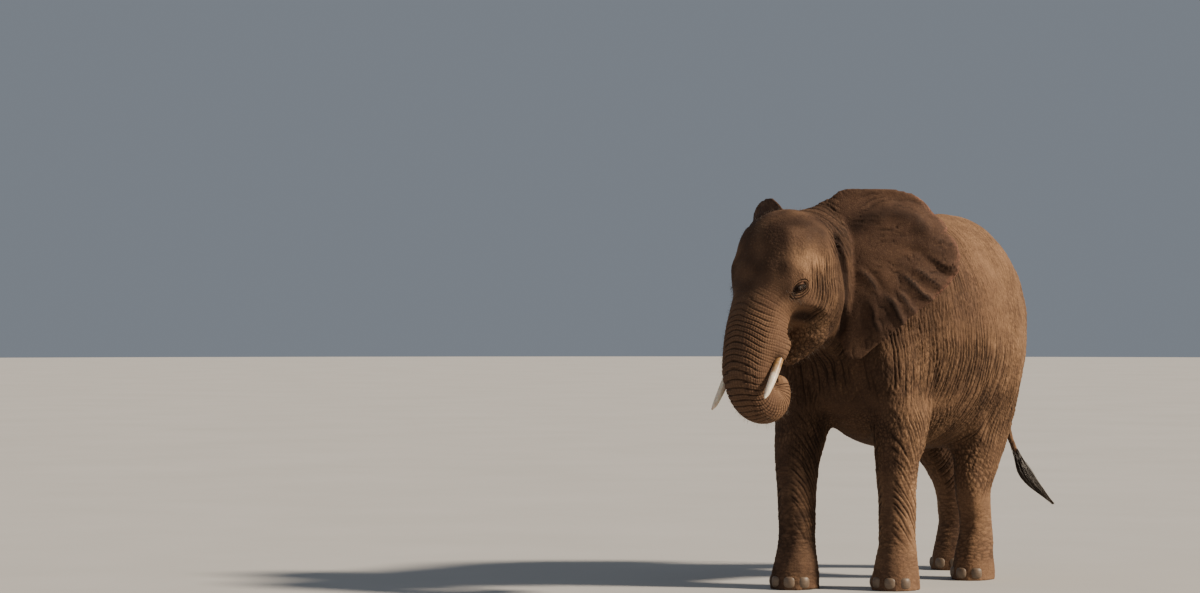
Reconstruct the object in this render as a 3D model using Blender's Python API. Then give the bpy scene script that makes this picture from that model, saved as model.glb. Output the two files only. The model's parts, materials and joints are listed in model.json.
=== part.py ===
"""African savanna elephant, life-size still model, standing with the trunk curled up to the mouth.

Metres, +Z up. The animal faces -Y and its left side is +X. Every mass of flesh is a loft or an
ellipsoid; a voxel remesh joins them, a fillet pass rounds the joins, and solid blocks part the
result into named pieces that keep a hair's gap between them.
"""

import math

import bmesh
import bpy
import numpy as np
from mathutils import Matrix, Vector
from mathutils.bvhtree import BVHTree

# ---------------------------------------------------------------- driving dimensions (metres)
SHOULDER_HEIGHT = 2.38
GAP = 0.0005  # clearance between neighbouring solids
VOXEL = 0.017  # joins the masses of flesh
HEAD_ORIGIN = Vector((-0.03, -0.88, 0.0))  # below the point midway between the eyes
HEAD_YAW = math.radians(-6.0)  # the head turns a little to the animal's right
EYE_HEIGHT, EYE_RADIUS, EYE_PROUD = 1.877, 0.0215, 0.007
# how far each foot stands behind its place at rest
FORE_STEP = {"left": 0.0, "right": -0.31}
HIND_STEP = {"left": -0.19, "right": 0.42}
FLESH_TRIANGLES = 3200

# Torso stations: distance behind the shoulder line, top, bottom, half-width, and how much the
# section widens below its middle (below zero it narrows to a keel).
TORSO = (
    (-0.44, 1.98, 1.60, 0.18, 0.0),
    (-0.34, 2.10, 1.50, 0.27, -0.08),
    (-0.18, 2.26, 1.42, 0.35, -0.20),
    (0.04, SHOULDER_HEIGHT, 1.16, 0.42, -0.26),
    (0.34, 2.36, 0.89, 0.480, -0.12),
    (0.68, 2.315, 0.85, 0.530, 0.08),
    (0.98, 2.335, 0.85, 0.540, 0.10),
    (1.20, 2.372, 0.91, 0.510, 0.10),
    (1.40, 2.305, 1.02, 0.438, 0.09),
    (1.54, 2.210, 1.13, 0.370, 0.07),
    (1.635, 2.09, 1.25, 0.302, 0.04),
    (1.69, 1.97, 1.37, 0.235, 0.0),
    (1.715, 1.88, 1.46, 0.170, 0.0),
)

# Leg stations: height, distance from the midline, distance behind the shoulder line,
# half-width across, half-width fore and aft.
FORELEG = (
    (1.80, 0.25, 0.02, 0.155, 0.27),
    (1.45, 0.275, 0.05, 0.155, 0.255),
    (1.12, 0.285, 0.10, 0.152, 0.215),
    (0.95, 0.280, 0.115, 0.146, 0.190),
    (0.82, 0.274, 0.100, 0.134, 0.163),
    (0.62, 0.270, 0.098, 0.116, 0.134),
    (0.44, 0.270, 0.100, 0.110, 0.127),
    (0.30, 0.270, 0.100, 0.112, 0.127),
    (0.15, 0.271, 0.090, 0.131, 0.150),
    (0.05, 0.272, 0.082, 0.145, 0.166),
    (-0.05, 0.272, 0.082, 0.147, 0.168),
)
HINDLEG = (
    (2.02, 0.17, 1.18, 0.19, 0.30),
    (1.72, 0.235, 1.18, 0.195, 0.34),
    (1.42, 0.268, 1.17, 0.195, 0.325),
    (1.16, 0.276, 1.155, 0.178, 0.283),
    (0.96, 0.275, 1.15, 0.152, 0.235),
    (0.78, 0.270, 1.180, 0.130, 0.190),
    (0.60, 0.265, 1.215, 0.111, 0.143),
    (0.42, 0.262, 1.250, 0.102, 0.119),
    (0.29, 0.262, 1.26, 0.107, 0.126),
    (0.15, 0.263, 1.235, 0.119, 0.146),
    (0.05, 0.264, 1.225, 0.129, 0.160),
    (-0.05, 0.264, 1.225, 0.131, 0.162),
)

# Trunk stations in the head's own frame: forward of the eyes, height, half-width, half-depth.
TRUNK = (
    (-0.06, 2.04, 0.250, 0.185),
    (-0.005, 1.86, 0.238, 0.190),
    (0.078, 1.735, 0.190, 0.162),
    (0.130, 1.60, 0.184, 0.168),
    (0.178, 1.47, 0.168, 0.152),
    (0.203, 1.345, 0.152, 0.134),
    (0.163, 1.235, 0.138, 0.125),
    (0.095, 1.180, 0.128, 0.120),
    (0.015, 1.168, 0.118, 0.115),
    (-0.050, 1.200, 0.105, 0.100),
    (-0.078, 1.255, 0.090, 0.083),
    (-0.082, 1.300, 0.074, 0.066),
)

# Tusk centre line in the head's frame, from root to tip: side, forward, height, radius.
TUSK = {
    "left": (
        (0.150, 0.030, 1.560, 0.0250),
        (0.163, 0.070, 1.495, 0.0262),
        (0.173, 0.112, 1.430, 0.0262),
        (0.183, 0.160, 1.360, 0.0250),
        (0.192, 0.212, 1.290, 0.0215),
        (0.199, 0.252, 1.240, 0.0150),
        (0.202, 0.268, 1.222, 0.0070),
    ),
    "right": (
        (0.150, 0.030, 1.560, 0.0250),
        (0.163, 0.070, 1.495, 0.0262),
        (0.173, 0.112, 1.430, 0.0262),
        (0.184, 0.160, 1.345, 0.0252),
        (0.194, 0.212, 1.250, 0.0215),
        (0.202, 0.258, 1.172, 0.0150),
        (0.206, 0.278, 1.145, 0.0070),
    ),
}

# Ear outline by height: where the sheet starts and ends, measured along it from its root line.
EAR_OUTLINE = (
    (2.490, 0.130, 0.330),
    (2.475, 0.040, 0.430),
    (2.440, -0.050, 0.525),
    (2.380, -0.155, 0.605),
    (2.300, -0.175, 0.670),
    (2.195, -0.130, 0.720),
    (2.070, -0.090, 0.755),
    (1.960, -0.080, 0.720),
    (1.870, -0.070, 0.645),
    (1.790, -0.055, 0.555),
    (1.710, -0.035, 0.440),
    (1.620, -0.010, 0.335),
    (1.530, 0.010, 0.240),
    (1.465, 0.045, 0.180),
    (1.428, 0.090, 0.135),
)
EAR_ROOT_Y, EAR_THICKNESS_ROOT, EAR_THICKNESS_RIM = -0.415, 0.026, 0.016
EAR_FLARE = {"left": (62.0, 24.0), "right": (71.0, 32.0)}  # degrees at the root and at the rim
EAR_DROP = {"left": 0.0, "right": 0.050}  # how much lower the whole ear hangs
EAR_LEAN = {"left": 0.55, "right": 0.25}  # how far its top bends inward over the neck
EAR_FALL = {"left": (0.0, 0.0), "right": (0.50, 0.65)}  # of its top, towards the root and the rim

# Tail centre line from the rump to where the hair starts, and the tuft on from there.
TAIL = (
    (0.0, 1.620, 2.040, 0.060),
    (0.0, 1.750, 1.930, 0.056),
    (0.0, 1.835, 1.760, 0.046),
    (0.0, 1.875, 1.520, 0.036),
    (0.0, 1.890, 1.270, 0.030),
    (0.005, 1.895, 1.050, 0.026),
    (0.030, 1.905, 0.890, 0.023),
    (0.070, 1.935, 0.765, 0.020),
)
TAIL_TUFT = (
    (0.070, 1.935, 0.765, 0.0200),
    (0.103, 1.960, 0.670, 0.0300),
    (0.145, 1.985, 0.590, 0.0380),
    (0.200, 2.020, 0.520, 0.0300),
    (0.268, 2.075, 0.435, 0.0080),
)

# Nails: plan angle from straight ahead, in degrees, for each foot.
FORE_NAILS = (-54.0, -18.0, 18.0, 54.0)
HIND_NAILS = (-38.0, 0.0, 38.0)
NAIL_HALF_WIDTH, NAIL_HALF_HEIGHT, NAIL_HALF_DEPTH, NAIL_HEIGHT = 0.034, 0.036, 0.013, 0.050


# ---------------------------------------------------------------- frames and small maths
def head_point(side, forward, height):
    """A point of the head: to the animal's left, forward of the eyes, above the ground."""
    turned = Matrix.Rotation(HEAD_YAW, 3, "Z") @ Vector((side, -forward, 0.0))
    return HEAD_ORIGIN + turned + Vector((0.0, 0.0, height))


def head_across():
    return Matrix.Rotation(HEAD_YAW, 3, "Z") @ Vector((1, 0, 0))


def smooth_step(low, high, value):
    share = min(1.0, max(0.0, (value - low) / (high - low)))
    return share * share * (3.0 - 2.0 * share)


def through(rows, per_span):
    """Catmull-Rom rows through the given ones, per_span to a span."""
    rows = [np.array(row, float) for row in rows]
    padded = [2 * rows[0] - rows[1], *rows, 2 * rows[-1] - rows[-2]]
    found = []
    for i in range(len(rows) - 1):
        before, start, end, after = padded[i : i + 4]
        for step in range(per_span):
            t = step / per_span
            found.append(
                0.5
                * (
                    2 * start
                    + (end - before) * t
                    + (2 * before - 5 * start + 4 * end - after) * t**2
                    + (3 * start - before - 3 * end + after) * t**3
                )
            )
    return [*found, rows[-1]]


# ---------------------------------------------------------------- mesh makers
def new_object(name, mesh):
    made = bpy.data.objects.new(name, mesh)
    bpy.context.scene.collection.objects.link(made)
    return made


def mesh_from(bm, name):
    mesh = bpy.data.meshes.new(name)
    bm.to_mesh(mesh)
    bm.free()
    return mesh


def closed_tube(rings):
    """A mesh through rings of points, each end closed by a fan round its middle."""
    bm = bmesh.new()
    loops = [[bm.verts.new(point) for point in ring] for ring in rings]
    for first, second in zip(loops, loops[1:]):
        for i, vert in enumerate(first):
            after = (i + 1) % len(first)
            bm.faces.new((vert, first[after], second[after], second[i]))
    for loop in (loops[0], loops[-1]):
        middle = bm.verts.new(sum((v.co for v in loop), Vector()) / len(loop))
        for i, vert in enumerate(loop):
            bm.faces.new((vert, loop[(i + 1) % len(loop)], middle))
    bmesh.ops.recalc_face_normals(bm, faces=bm.faces)
    return mesh_from(bm, "tube")


def oval(centre, across, up, half_across, half_up, power, pear, sides):
    """Ring round a centre. power above 2 squares it off; pear widens it below its middle."""
    ring = []
    for i in range(sides):
        angle = 2 * math.pi * i / sides
        c, s = math.cos(angle), math.sin(angle)
        x = math.copysign(abs(c) ** (2 / power), c) * (1 - pear * s)
        y = math.copysign(abs(s) ** (2 / power), s)
        ring.append(centre + across * (half_across * x) + up * (half_up * y))
    return ring


def swept(points, sizes, across, power=2.0, pears=None, sides=32, domes=3, bulge=0.8):
    """Tube along points with (half_across, half_up) sizes; its ends bulge by that share."""
    points = [Vector(p) for p in points]
    pears = pears or [0.0] * len(points)
    rings = []
    for i, (point, (wide, deep)) in enumerate(zip(points, sizes)):
        along = (points[min(i + 1, len(points) - 1)] - points[max(i - 1, 0)]).normalized()
        side = (across - along * across.dot(along)).normalized()
        rings.append(oval(point, side, side.cross(along), wide, deep, power, pears[i], sides))
    near, far = bulge * min(sizes[0]), bulge * min(sizes[-1])
    starts = rounded_end(rings[0], points[0], points[0] - points[1], near, domes)
    ends = rounded_end(rings[-1], points[-1], points[-1] - points[-2], far, domes)
    return closed_tube(starts[::-1] + rings + ends)


def rounded_end(ring, centre, outward, reach, domes):
    outward = outward.normalized()
    extra = []
    for k in range(1, domes + 1):
        turn = k / (domes + 0.4) * math.pi / 2
        shift = outward * (reach * math.sin(turn))
        extra.append([centre + (p - centre) * math.cos(turn) + shift for p in ring])
    return extra


def ellipsoid(centre, radii, turn=None, detail=4):
    bm = bmesh.new()
    bmesh.ops.create_icosphere(bm, subdivisions=detail, radius=1.0)
    shape = Matrix.Diagonal((*radii, 1.0))
    if turn is not None:
        shape = turn.to_4x4() @ shape
    bm.transform(Matrix.Translation(centre) @ shape)
    return mesh_from(bm, "ellipsoid")


def hull(points):
    bm = bmesh.new()
    for point in points:
        bm.verts.new(point)
    bmesh.ops.convex_hull(bm, input=bm.verts)
    spare = [vert for vert in bm.verts if not vert.link_faces]
    bmesh.ops.delete(bm, geom=spare, context="VERTS")
    bmesh.ops.recalc_face_normals(bm, faces=bm.faces)
    return mesh_from(bm, "hull")


def grown(mesh, distance):
    """A copy of the mesh with every face moved outward by about distance."""
    bm = bmesh.new()
    bm.from_mesh(mesh)
    bm.normal_update()
    moved = [v.normal * (distance * min(v.calc_shell_factor(), 1.6)) for v in bm.verts]
    for vert, shift in zip(bm.verts, moved):
        vert.co += shift
    return mesh_from(bm, "grown")


# ---------------------------------------------------------------- modifiers as functions
def evaluated(obj):
    """The object's mesh with its modifiers applied; the object itself goes."""
    graph = bpy.context.evaluated_depsgraph_get()
    mesh = bpy.data.meshes.new_from_object(obj.evaluated_get(graph), depsgraph=graph)
    bpy.data.objects.remove(obj)
    return mesh


def remeshed(mesh):
    obj = new_object("remesh", mesh)
    modifier = obj.modifiers.new("Remesh", "REMESH")
    modifier.mode = "VOXEL"
    modifier.voxel_size = VOXEL
    return evaluated(obj)


def decimated(mesh, triangles, weight):
    """Collapses the mesh to about that many triangles, sparing it where weight is low."""
    obj = new_object("decimate", mesh)
    group = obj.vertex_groups.new(name="spare")
    for i, value in enumerate(weight(vertex_array(mesh))):
        group.add([i], float(value), "REPLACE")
    triangulate = obj.modifiers.new("Triangulate", "TRIANGULATE")
    triangulate.quad_method = "SHORTEST_DIAGONAL"
    collapse = obj.modifiers.new("Decimate", "DECIMATE")
    collapse.ratio = triangles / sum(len(p.vertices) - 2 for p in mesh.polygons)
    collapse.vertex_group = "spare"
    collapse.vertex_group_factor = 1.0
    return evaluated(obj)


def combined(mesh, other, operation):
    obj = new_object("subject", mesh)
    cutter = new_object("cutter", other)
    cutter.hide_render = True
    cutter.display_type = "WIRE"
    modifier = obj.modifiers.new("Boolean", "BOOLEAN")
    modifier.operation = operation
    modifier.solver = "EXACT"
    modifier.object = cutter
    made = evaluated(obj)
    bpy.data.objects.remove(cutter)
    return made


# ---------------------------------------------------------------- the masses of flesh
def torso():
    rows = through(TORSO, 4)
    points = [(0, row[0], 0.5 * (row[1] + row[2])) for row in rows]
    sizes = [(row[3], 0.5 * (row[1] - row[2])) for row in rows]
    pears = [row[4] for row in rows]
    return swept(points, sizes, Vector((1, 0, 0)), 2.15, pears, sides=56, bulge=0.35)


def neck():
    return swept(
        [(0, 0.02, 1.80), (-0.005, -0.22, 1.86), (-0.02, -0.44, 1.94), (-0.03, -0.60, 1.97)],
        [(0.36, 0.50), (0.31, 0.43), (0.275, 0.36), (0.25, 0.32)],
        Vector((1, 0, 0)),
    )


def leg(stations, side, step, knee, hip):
    """One leg. Its foot stands step behind its rest place, the swing growing from hip to knee."""
    rows = [
        (side * x, y + step * smooth_step(-hip, -knee, -z), z, wide, deep)
        for z, x, y, wide, deep in stations
    ]
    rows = through(rows, 4)
    return swept([row[:3] for row in rows], [row[3:] for row in rows], Vector((1, 0, 0)), 2.1)


def trunk_rows():
    return [(head_point(0, row[0], row[1]), row[2], row[3]) for row in through(TRUNK, 5)]


def trunk():
    rows = trunk_rows()
    return swept([row[0] for row in rows], [row[1:] for row in rows], head_across())


def head_masses():
    """Cranium, forehead, jaw, cheeks, brows and the sheaths that the tusks leave."""
    turned = Matrix.Rotation(HEAD_YAW, 3, "Z")

    def mass(side, forward, height, radii):
        return ellipsoid(head_point(side, forward, height), radii, turned)

    def tube(rows):
        points = [head_point(*row[:3]) for row in rows]
        return swept(points, [row[3:] for row in rows], head_across())

    jaw = (
        (0, -0.34, 1.76, 0.230, 0.210),
        (0, -0.29, 1.66, 0.225, 0.182),
        (0, -0.245, 1.57, 0.183, 0.142),
        (0, -0.205, 1.49, 0.122, 0.094),
        (0, -0.170, 1.43, 0.066, 0.050),
    )
    masses = [
        mass(0, -0.185, 2.055, (0.312, 0.305, 0.300)),
        mass(0, -0.07, 1.92, (0.275, 0.240, 0.250)),
        mass(0, -0.400, 2.075, (0.270, 0.230, 0.290)),
        tube(jaw),
    ]
    for side in (1, -1):
        sheath = (
            (side * 0.100, 0.030, 1.74, 0.070, 0.080),
            (side * 0.128, 0.072, 1.60, 0.060, 0.068),
            (side * 0.158, 0.098, 1.485, 0.046, 0.050),
        )
        masses += [
            mass(side * 0.160, -0.250, 1.84, (0.145, 0.250, 0.220)),
            mass(side * 0.140, -0.300, 1.745, (0.115, 0.150, 0.150)),
            mass(side * 0.165, -0.030, 1.985, (0.100, 0.130, 0.110)),
            tube(sheath),
        ]
    return masses


def shoulder_masses():
    masses = []
    for side, step in ((1, FORE_STEP["left"]), (-1, FORE_STEP["right"])):
        masses.append(ellipsoid((side * 0.27, -0.02 + 0.25 * step, 1.75), (0.155, 0.28, 0.42)))
        masses.append(ellipsoid((side * 0.30, 0.16 + 0.8 * step, 1.17), (0.105, 0.15, 0.20)))
    return masses


def joined(meshes):
    bm = bmesh.new()
    for mesh in meshes:
        bm.from_mesh(mesh)
    return mesh_from(bm, "joined")


# ---------------------------------------------------------------- rounding the joins
def vertex_array(mesh):
    co = np.empty(len(mesh.vertices) * 3, np.float32)
    mesh.vertices.foreach_get("co", co)
    return co.reshape(-1, 3).astype(float)


def write_vertices(mesh, co):
    mesh.vertices.foreach_set("co", co.astype(np.float32).ravel())
    mesh.update()


def neighbour_mean(co, edges):
    a, b = edges[:, 0], edges[:, 1]
    count = np.bincount(edges.ravel(), minlength=len(co))
    sums = [
        np.bincount(a, co[b, k], len(co)) + np.bincount(b, co[a, k], len(co)) for k in range(3)
    ]
    return np.stack(sums, axis=1) / count[:, None]


def fillet(mesh, rounds, even_rounds, share_of):
    """Fills hollow joins, then evens the surface. share_of(co) is 0 where nothing may fill."""
    edges = np.empty(len(mesh.edges) * 2, np.int32)
    mesh.edges.foreach_get("vertices", edges)
    edges = edges.reshape(-1, 2)
    co = vertex_array(mesh)
    share = share_of(co)
    for _ in range(rounds):
        normals = np.empty(len(co) * 3, np.float32)
        mesh.vertex_normals.foreach_get("vector", normals)
        normals = normals.reshape(-1, 3)
        offset = neighbour_mean(co, edges) - co
        rise = (offset * normals).sum(1)
        flat = offset - normals * rise[:, None]
        co = co + normals * (np.maximum(rise, 0) * share)[:, None] + 0.3 * flat
        write_vertices(mesh, co)
    for _ in range(even_rounds):
        co = co + 0.5 * (neighbour_mean(co, edges) - co)
        co = co - 0.52 * (neighbour_mean(co, edges) - co)
    write_vertices(mesh, co)


def fill_share(co):
    """1 on the body; 0 in the curled trunk's fold and at the lips, low in the fore armpits."""
    fold = np.array(head_point(0, -0.02, 1.33))
    away = np.linalg.norm((co - fold) * (0.6, 1.0, 0.8), axis=1)
    armpits = np.linalg.norm((co - (0.0, -0.05, 1.08)) * (0.7, 1.0, 1.0), axis=1)
    share = np.clip((away - 0.17) / 0.10, 0.0, 1.0)
    return share * np.clip((armpits - 0.12) / 0.15, 0.25, 1.0)


def flesh():
    masses = [torso(), neck(), trunk(), *head_masses(), *shoulder_masses()]
    for side, name in ((1, "left"), (-1, "right")):
        hip = 1.10 if HIND_STEP[name] < 0 else 1.60
        masses.append(leg(FORELEG, side, FORE_STEP[name], 0.66, 2.00))
        masses.append(leg(HINDLEG, side, HIND_STEP[name], 0.55, hip))
    mesh = remeshed(joined(masses))
    fillet(mesh, 32, 10, fill_share)
    return mesh


def flat_soled(mesh):
    """Cuts the feet off level at the floor and closes them."""
    bm = bmesh.new()
    bm.from_mesh(mesh)
    geom = [*bm.verts, *bm.edges, *bm.faces]
    bmesh.ops.bisect_plane(bm, geom=geom, plane_co=(0, 0, 0), plane_no=(0, 0, 1), clear_inner=True)
    rims = [edge for edge in bm.edges if edge.is_boundary]
    bmesh.ops.holes_fill(bm, edges=rims)
    bmesh.ops.triangulate(bm, faces=[face for face in bm.faces if len(face.verts) > 4])
    bmesh.ops.recalc_face_normals(bm, faces=bm.faces)
    return mesh_from(bm, "flesh")


def detail_weight(co):
    """Where the flesh keeps finer facets: most at the face and trunk, then the feet."""
    face = np.clip((-0.35 - co[:, 1]) / 0.20, 0, 1)
    foot = np.clip((0.40 - co[:, 2]) / 0.25, 0, 1)
    return 1.0 - np.maximum(0.30 * face, 0.15 * foot)


# ---------------------------------------------------------------- ears, tail, tusks, nails
def ear_surface(name, side, along, height):
    """Middle of the ear sheet at a distance along it from its root line and at a height."""
    root_flare, rim_flare = (math.radians(v) for v in EAR_FLARE[name])
    outward, back = 0.0, 0.0
    for step in range(24):
        share = (step + 0.5) / 24
        flare = root_flare + (rim_flare - root_flare) * max(0.0, along * share) / 0.75
        outward += math.sin(flare) * along / 24
        back += math.cos(flare) * along / 24
    lean = EAR_LEAN[name] * max(0.0, height - 2.22) ** 1.6
    hang = 0.05 * smooth_step(-1.85, -1.45, -height)
    wave = 0.012 * math.sin(9.0 * along + 7.0 * height)
    root_side = 0.245 - 0.08 * EAR_LEAN[name] * smooth_step(2.05, 2.40, height)
    inner, outer = EAR_FALL[name]
    fall = inner * max(0.0, 0.17 - along) + outer * max(0.0, along - 0.20) ** 2
    x = root_side + outward - lean - hang + wave
    z = height - EAR_DROP[name] - fall * smooth_step(2.15, 2.45, height)
    return Vector((side * x - 0.02, EAR_ROOT_Y + back + 0.35 * lean, z))


def ear(name, side):
    """Sheet laid out in rows by height; thick at its root and thin at its rim."""
    columns = 7
    middle = [
        [
            ear_surface(name, side, start + (end - start) * j / columns, height)
            for j in range(columns + 1)
        ]
        for height, start, end in EAR_OUTLINE
    ]
    last = len(middle) - 1
    bm = bmesh.new()
    sheets = []
    for direction in (1, -1):
        sheet = []
        for i, row in enumerate(middle):
            points = []
            for j, point in enumerate(row):
                down = middle[min(i + 1, last)][j] - middle[max(i - 1, 0)][j]
                over = row[min(j + 1, columns)] - row[max(j - 1, 0)]
                normal = over.cross(down).normalized() * direction
                rim = i in (0, last) or j in (0, columns)
                thinner = (EAR_THICKNESS_RIM - EAR_THICKNESS_ROOT) * j / columns
                thick = (EAR_THICKNESS_ROOT + thinner) * (0.3 if rim else 0.5)
                points.append(bm.verts.new(point + normal * thick))
            sheet.append(points)
        sheets.append(sheet)
    for sheet in sheets:
        for i in range(last):
            for j in range(columns):
                bm.faces.new((sheet[i][j], sheet[i][j + 1], sheet[i + 1][j + 1], sheet[i + 1][j]))
    front, rear = sheets
    for j in range(columns):
        for i in (0, last):
            bm.faces.new((front[i][j], front[i][j + 1], rear[i][j + 1], rear[i][j]))
    for i in range(last):
        for j in (0, columns):
            bm.faces.new((front[i][j], front[i + 1][j], rear[i + 1][j], rear[i][j]))
    bmesh.ops.recalc_face_normals(bm, faces=bm.faces)
    bmesh.ops.triangulate(bm, faces=bm.faces)
    return mesh_from(bm, "ear")


def tail_tube(rows, per_span, sides, domes):
    rows = through(rows, per_span)
    sizes = [(row[3], row[3]) for row in rows]
    return swept([row[:3] for row in rows], sizes, Vector((1, 0, 0)), sides=sides, domes=domes)


def tusk(name, side, extra):
    """Tusk from its root in the sheath to its tip; extra thickens it to cut its socket."""
    rows = [(head_point(side * s, f, z), r) for s, f, z, r in through(TUSK[name], 1)]
    sizes = [(r + extra, r + extra) for _, r in rows]
    return swept([row[0] for row in rows], sizes, head_across(), sides=10, domes=1)


def nail(tree, foot, angle):
    """Oval nail on the front of a foot, found by looking outward from the foot's axis."""
    turn = math.radians(angle)
    outward = Vector((math.sin(turn), -math.cos(turn), 0.0))
    start = Vector((foot[0], foot[1], NAIL_HEIGHT))
    hit = tree.ray_cast(start, outward)[0]
    frame = Matrix.Rotation(turn, 3, "Z")
    bm = bmesh.new()
    bmesh.ops.create_uvsphere(bm, u_segments=8, v_segments=5, radius=1.0)
    radii = Matrix.Diagonal((NAIL_HALF_WIDTH, NAIL_HALF_DEPTH, NAIL_HALF_HEIGHT, 1.0))
    bm.transform(Matrix.Translation(hit - outward * 0.003) @ frame.to_4x4() @ radii)
    return mesh_from(bm, "nail")


def eye_centre(tree, side):
    """Centre of an eyeball that stands EYE_PROUD out of the face."""
    outward = head_across() * side
    inside = head_point(0, 0.0, EYE_HEIGHT)
    hit = tree.ray_cast(inside, outward)[0]
    return hit - outward * (EYE_RADIUS - EYE_PROUD)


# ---------------------------------------------------------------- parting the flesh
def largest(mesh):
    """The mesh's biggest loose shell, alone."""
    bm = bmesh.new()
    bm.from_mesh(mesh)
    left = set(bm.verts)
    shells = []
    for start in list(bm.verts):
        if start not in left:
            continue
        left.discard(start)
        reached, front = [start], [start]
        while front:
            for edge in front.pop().link_edges:
                for vert in edge.verts:
                    if vert in left:
                        left.discard(vert)
                        reached.append(vert)
                        front.append(vert)
        shells.append(reached)
    shells.sort(key=len)
    spare = [vert for shell in shells[:-1] for vert in shell]
    bmesh.ops.delete(bm, geom=spare, context="VERTS")
    return mesh_from(bm, "shell")


def parted(mesh, region):
    """The piece of the mesh inside the region, and the rest of it a gap away."""
    piece = combined(mesh.copy(), region.copy(), "INTERSECT")
    rest = combined(mesh, grown(region, GAP), "DIFFERENCE")
    return piece, rest


def trunk_region(start, end):
    """Block round the trunk between two of its rows."""
    rows = trunk_rows()
    corners = []
    for i in (start, (start + end) // 2, end):
        point, wide, deep = rows[i]
        along = (rows[min(i + 1, len(rows) - 1)][0] - rows[max(i - 1, 0)][0]).normalized()
        up = head_across().cross(along).normalized()
        shift = along * 0.12 if i == len(rows) - 1 else Vector()
        for u, v in ((1, 1), (1, -1), (-1, 1), (-1, -1)):
            corners.append(point + shift + head_across() * u * (wide + 0.03) + up * v * (deep + 0.02))
    return hull(corners)


def head_block(profile, half_width):
    """Prism across the head through a side profile of (forward, height) corners."""
    return hull([head_point(s * half_width, f, z) for f, z in profile for s in (1, -1)])


def body_block(profile, inner, outer):
    """Prism between two x planes through a side profile of (y, z) corners."""
    return hull([(x, y, z) for y, z in profile for x in (inner, outer)])


def leg_regions(side, front, rear, knee, ankle, crotch, flank):
    """Foot, lower and upper leg blocks; the top one rises outward from crotch to flank."""
    inner, outer = side * 0.015, side * 0.80
    upper = [(inner, y, z) for y in (front, rear) for z in (knee - 0.1, crotch)]
    upper += [(outer, y, z) for y in (front, rear) for z in (knee - 0.1, flank)]
    foot = ((front, -0.1), (front, ankle), (rear, -0.1), (rear, ankle))
    lower = ((front, ankle - 0.1), (front, knee), (rear, ankle - 0.1), (rear, knee))
    return body_block(foot, inner, outer), body_block(lower, inner, outer), hull(upper)


def flesh_regions():
    """Names and blocks of the parts, in the order they are taken from the flesh."""
    last = len(trunk_rows()) - 1
    regions = [
        ("trunk_tip", trunk_region(last - 6, last)),
        ("trunk_lower", trunk_region(last - 15, last - 6)),
        ("trunk_bend", trunk_region(last - 25, last - 15)),
        ("trunk_upper", trunk_region(last - 33, last - 25)),
        ("trunk_base", head_block(((-0.045, 1.655), (0.40, 1.78), (0.45, 1.38), (-0.045, 1.40)), 0.40)),
        ("jaw", head_block(((0.05, 1.605), (-0.50, 1.665), (-0.29, 1.33), (0.05, 1.33)), 0.40)),
        ("head", head_block(((0.60, 1.30), (0.60, 2.60), (-0.47, 2.60), (-0.47, 1.58)), 0.60)),
        ("neck", body_block(((-1.20, 1.30), (-1.20, 2.60), (-0.12, 2.60), (-0.30, 1.30)), -0.60, 0.60)),
    ]
    for side, name in ((1, "left"), (-1, "right")):
        step = FORE_STEP[name]
        fore = leg_regions(side, -0.25 + step, 0.47 + step, 0.60, 0.20, 0.90, 1.55)
        step = HIND_STEP[name] * 0.7
        hind = leg_regions(side, 0.92 + step, 1.72 + step, 0.66, 0.20, 0.92, 1.60)
        regions += zip((f"forefoot_{name}", f"foreleg_{name}_lower", f"foreleg_{name}_upper"), fore)
        regions += zip((f"hindfoot_{name}", f"hindleg_{name}_lower", f"hindleg_{name}_upper"), hind)
    return regions


def flesh_pieces(mesh):
    pieces = []
    for name, region in flesh_regions():
        piece, mesh = parted(mesh, region)
        pieces.append((name, largest(piece)))
    return [*pieces, ("torso", largest(mesh))]


# ---------------------------------------------------------------- materials and assembly
def material(name, colour, roughness):
    made = bpy.data.materials.new(name)
    made.use_nodes = True
    shader = made.node_tree.nodes["Principled BSDF"]
    shader.inputs["Base Color"].default_value = (*colour, 1.0)
    shader.inputs["Roughness"].default_value = roughness
    made.diffuse_color = (*colour, 1.0)
    return made


def placed(name, mesh, surface):
    mesh.materials.clear()
    mesh.materials.append(surface)
    mesh.name = name
    return new_object(name, mesh)


def clear_scene():
    for obj in list(bpy.data.objects):
        bpy.data.objects.remove(obj)


def centre_on_base():
    """Moves everything level so that the origin is below the middle of the whole animal."""
    objects = list(bpy.context.scene.objects)
    corners = np.concatenate([vertex_array(obj.data) for obj in objects])
    middle = 0.5 * (corners.min(axis=0) + corners.max(axis=0))
    for obj in objects:
        obj.data.transform(Matrix.Translation((-middle[0], -middle[1], 0.0)))


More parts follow.
